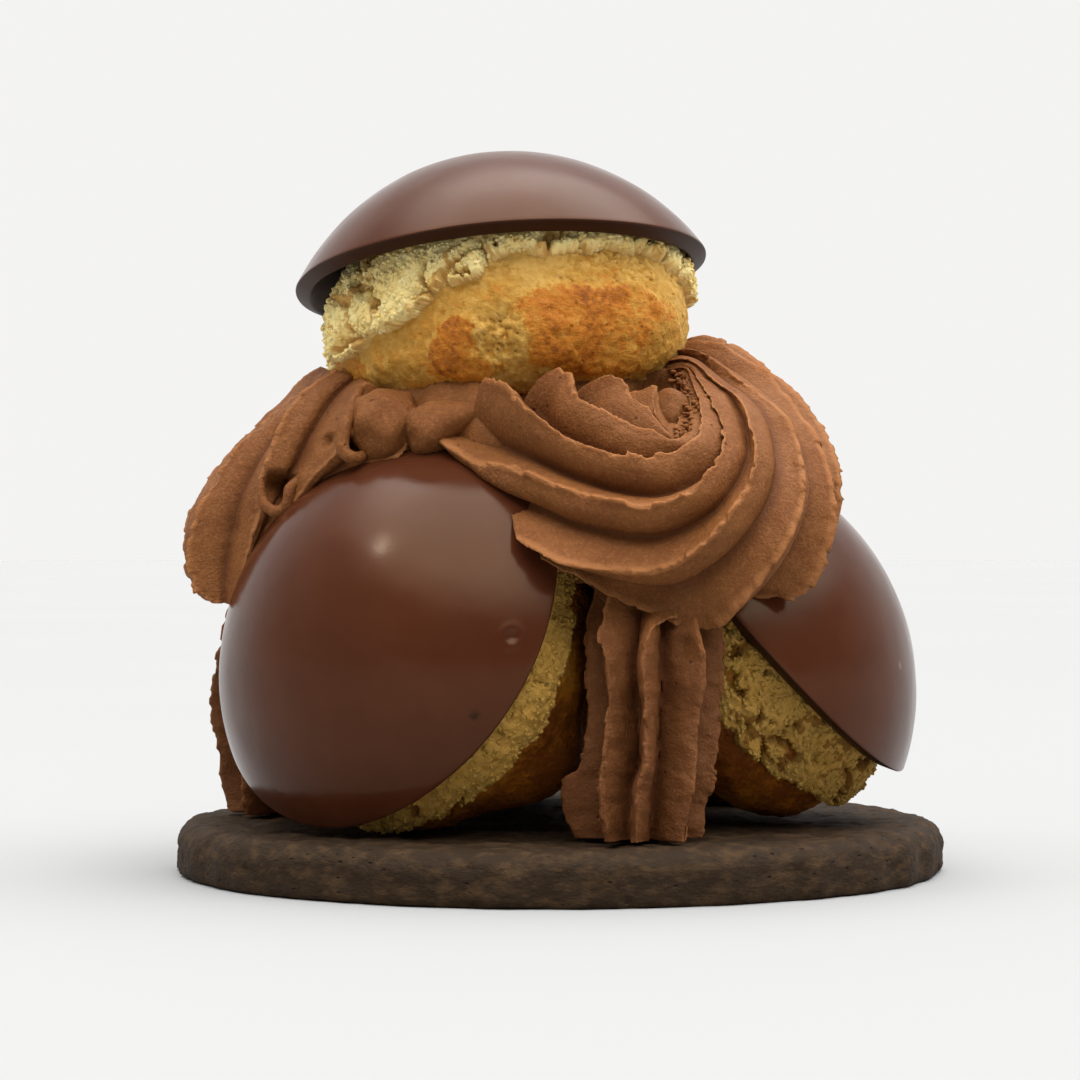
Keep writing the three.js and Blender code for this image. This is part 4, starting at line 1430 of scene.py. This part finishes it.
def make_camera(focal_length):
    """The camera stands level in front of the cake."""
    lens = bpy.data.cameras.new("camera")
    lens.lens = focal_length
    lens.sensor_width = 36
    lens.clip_start = 0.01
    lens.clip_end = 20
    camera = new_object("camera", lens)
    camera.location = Vector(CAMERA_PLACE) * MM
    camera.rotation_euler = (radians(90), 0, 0)
    return camera


# Settings


def a_number(name, description, value, subtype="NONE"):
    return FloatProperty(name=name, description=description, default=value, subtype=subtype)


def a_length(name, description, millimetres):
    value = millimetres * MM
    return FloatProperty(name=name, description=description, default=value, unit="LENGTH", precision=5)


def a_colour(name, description, *shade):
    return FloatVectorProperty(name=name, description=description, default=shade, subtype="COLOR")


def a_count(name, description, value):
    return IntProperty(name=name, description=description, default=value)


class CreamSettings(bpy.types.PropertyGroup):
    """Sizes and colours of the piped cream."""

    groove_depth: a_number("Groove depth", "How far grooves reach towards the spine", 0.36)
    valley: a_number("Valley", "Where the groove is, from one crest to the next", 0.67)
    lip: a_length("Lip", "How far a crest stands out as a thin lip", 0.35)
    serration: a_length("Serration", "Height of the torn crest edges", 0.6)
    serration_length: a_length("Serration length", "Length of one tooth on a crest", 1.7)
    lump: a_length("Lumps", "Height of soft lumps", 0.18)
    grain: a_length("Grain", "Height of the grain", 0.05)
    face_colour: a_colour("Face colour", "Colour of the broad faces", 0.183, 0.067, 0.018)
    shade_colour: a_colour("Second colour", "Colour of darker patches", 0.15, 0.052, 0.0145)
    # Painted highlight: the colour painted on thin crests, also used for light specks.
    crest_colour: a_colour("Crest colour", "Colour of thin crests", 0.32, 0.13, 0.043)
    # Painted shade: the colour painted deep in grooves, also used for dark specks.
    speck_and_groove_shade_colour: a_colour("Groove colour", "Colour deep in grooves", 0.1, 0.032, 0.0105)
    # Painted shade: the colour the columns are painted towards their foot.
    foot_shade_colour: a_colour("Foot colour", "Colour at the foot of the columns", 0.085, 0.0295, 0.0095)


class ShellSettings(bpy.types.PropertyGroup):
    """Sizes and colours of the chocolate shells."""

    colour: a_colour("Colour", "Main colour of the chocolate", 0.054, 0.0145, 0.0058)
    cloud_colour: a_colour("Clouded colour", "Colour of faintly clouded areas", 0.068, 0.02, 0.0088)
    roughness: a_number("Roughness", "Roughness of the satin gloss", 0.18)
    sides: a_count("Sides", "Faces around a shell", 300)


class PastrySettings(bpy.types.PropertyGroup):
    """Sizes and colours of the choux and their craquelin."""

    crust_thickness: a_length("Crust thickness", "Thickness of the craquelin", 1.15)
    crumb_colour: a_colour("Crumble colour", "Colour of the craquelin", 0.92, 0.73, 0.31)
    crumb_dark_colour: a_colour("Second crumble colour", "Colour of its deeper patches", 0.85, 0.6, 0.2)
    # Painted shade: the darker crumble painted on the lower choux.
    shaded_crumb_colour: a_colour("Lower crumble colour", "Craquelin of the lower choux", 0.46, 0.247, 0.042)
    # Cracks, holes and pores take this colour, partly toasted crumb and partly painted shade.
    toasted_colour: a_colour("Toasted colour", "Colour in cracks and holes", 0.5, 0.26, 0.058)
    pale_colour: a_colour("Pale colour", "Open crumb of the choux", 0.62, 0.365, 0.09)
    golden_colour: a_colour("Golden colour", "Lightly baked choux", 0.5, 0.258, 0.041)
    brown_colour: a_colour("Brown colour", "Well baked choux", 0.47, 0.155, 0.012)
    dark_colour: a_colour("Dark colour", "Darkest baked patches", 0.22, 0.06, 0.008)


class BaseSettings(bpy.types.PropertyGroup):
    """Fineness and colours of the biscuit disc."""

    # Both colours are partly the biscuit's own dark brown and partly painted shade, set darker than the
    # biscuit alone.
    colour: a_colour("Colour", "Colour of the biscuit", 0.025, 0.014, 0.0066)
    light_colour: a_colour("Light colour", "Colour of its worn fibres", 0.06, 0.034, 0.016)
    sides: a_count("Sides", "Faces around the disc", 420)


class StageSettings(bpy.types.PropertyGroup):
    """Floor, light and camera."""

    sky: a_number("Backdrop", "Brightness of the white horizon", 0.9)
    front: a_number("Front", "Brightness of the room in front", 0.1)
    window: a_number("Side", "Extra brightness from the left", 0.45)
    overhead: a_number("Overhead", "Brightness of the soft box overhead", 5.0)
    key_power: a_number("Lamp power", "Power of the small lamp", 0.25, "POWER")
    lens: a_number("Lens", "Focal length", 112.6, "DISTANCE_CAMERA")


# Operators

shared = {}


def kit_of(scene):
    """Node trees and materials, made once and shared by the operators."""
    if not shared:
        uneven_colour_group()
        fine_grain_group()
        shared["ridged"] = ridged_cream_tree()
        shared["skin"] = uneven_skin_tree()
        shared["crust"] = crumbly_crust_tree()
        shared["cream_material"] = cream_material(scene.cake_cream)
        shared["shell_material"] = shell_material(scene.cake_shell)
        shared["crust_material"] = crust_material(scene.cake_pastry)
        shared["chou_material"] = chou_material(scene.cake_pastry)
        shared["biscuit_material"] = biscuit_material(scene.cake_base)
    return shared


class CAKE_OT_base(bpy.types.Operator):
    """Makes the chocolate biscuit disc"""

    bl_idname = "cake.base"
    bl_label = "Biscuit disc"

    def execute(self, context):
        make_base(kit_of(context.scene), context.scene.cake_base.sides)
        return {"FINISHED"}


class CAKE_OT_choux(bpy.types.Operator):
    """Makes the four choux"""

    bl_idname = "cake.choux"
    bl_label = "Choux"

    def execute(self, context):
        for name, pastry in PASTRIES.items():
            make_chou(kit_of(context.scene), name, pastry)
        return {"FINISHED"}


class CAKE_OT_craquelin(bpy.types.Operator):
    """Makes the crumbly craquelin of the four choux"""

    bl_idname = "cake.craquelin"
    bl_label = "Craquelin"

    def execute(self, context):
        thickness = context.scene.cake_pastry.crust_thickness
        for name, pastry in PASTRIES.items():
            make_craquelin(kit_of(context.scene), thickness, name, pastry)
        return {"FINISHED"}


class CAKE_OT_shells(bpy.types.Operator):
    """Makes the four moulded chocolate shells"""

    bl_idname = "cake.shells"
    bl_label = "Chocolate shells"

    def execute(self, context):
        for name, pastry in PASTRIES.items():
            make_shell(kit_of(context.scene), context.scene.cake_shell.sides, name, pastry)
        return {"FINISHED"}


class CAKE_OT_bed(bpy.types.Operator):
    """Makes the bed of cream between the choux, under the top one"""

    bl_idname = "cake.bed"
    bl_label = "Cream bed"

    def execute(self, context):
        make_bed(kit_of(context.scene), context.scene.cake_cream)
        return {"FINISHED"}


class CAKE_OT_columns(bpy.types.Operator):
    """Pipes the three columns of cream between the choux"""

    bl_idname = "cake.columns"
    bl_label = "Cream columns"

    def execute(self, context):
        strokes = (
            ("front", COLUMN_CRESTS, 31),
            ("left", column_crests(168, 3.0), 47),
            ("back", column_crests(48, 8.0), 53),
        )
        for name, crests, seed in strokes:
            make_column(kit_of(context.scene), context.scene.cake_cream, name, crests, seed)
        return {"FINISHED"}


class CAKE_OT_rosettes(bpy.types.Operator):
    """Pipes the three rosettes of cream that fold over the columns"""

    bl_idname = "cake.rosettes"
    bl_label = "Cream rosettes"

    def execute(self, context):
        kit = kit_of(context.scene)
        cream = context.scene.cake_cream
        coil = coiled(FRONT_CRESTS, (8.0, -2.0, 58.0), 0.6)
        make_front_rosette(kit, cream, coil)
        make_left_rosette(kit, cream)
        make_back_rosette(kit, cream, coil)
        return {"FINISHED"}


class CAKE_OT_stage(bpy.types.Operator):
    """Sets the pale floor, the soft light and the camera"""

    bl_idname = "cake.stage"
    bl_label = "Floor, light and camera"

    def execute(self, context):
        scene = context.scene
        make_floor()
        make_lamp(scene.cake_stage.key_power)
        scene.world = make_surroundings(scene.cake_stage)
        scene.camera = make_camera(scene.cake_stage.lens)
        scene.view_settings.view_transform = "Standard"
        return {"FINISHED"}


OPERATORS = (
    CAKE_OT_base,
    CAKE_OT_choux,
    CAKE_OT_craquelin,
    CAKE_OT_shells,
    CAKE_OT_bed,
    CAKE_OT_columns,
    CAKE_OT_rosettes,
    CAKE_OT_stage,
)

SETTINGS = {
    "cake_cream": CreamSettings,
    "cake_shell": ShellSettings,
    "cake_pastry": PastrySettings,
    "cake_base": BaseSettings,
    "cake_stage": StageSettings,
}


class CAKE_PT_panel(bpy.types.Panel):
    """Lists the pieces of the cake and their settings"""

    bl_label = "Saint-honore cake"
    bl_idname = "CAKE_PT_panel"
    bl_space_type = "VIEW_3D"
    bl_region_type = "UI"
    bl_category = "Cake"

    def draw(self, context):
        column = self.layout.column()
        for operator in OPERATORS:
            column.operator(operator.bl_idname)
        for name in SETTINGS:
            group = getattr(context.scene, name)
            box = self.layout.box()
            for key in group.__annotations__:
                box.prop(group, key)


CLASSES = (*SETTINGS.values(), *OPERATORS, CAKE_PT_panel)


def register():
    for made in CLASSES:
        bpy.utils.register_class(made)
    for name, group in SETTINGS.items():
        setattr(bpy.types.Scene, name, PointerProperty(type=group))


def unregister():
    for name in SETTINGS:
        delattr(bpy.types.Scene, name)
    for made in reversed(CLASSES):
        bpy.utils.unregister_class(made)


def plain(box):
    return [[float(value) for value in corner] for corner in box]


def main():
    register()
    bpy.ops.cake.base()
    bpy.ops.cake.choux()
    bpy.ops.cake.craquelin()
    bpy.ops.cake.shells()
    bpy.ops.cake.bed()
    bpy.ops.cake.columns()
    bpy.ops.cake.rosettes()
    bpy.ops.cake.stage()


if __name__ == "__main__":
    main()
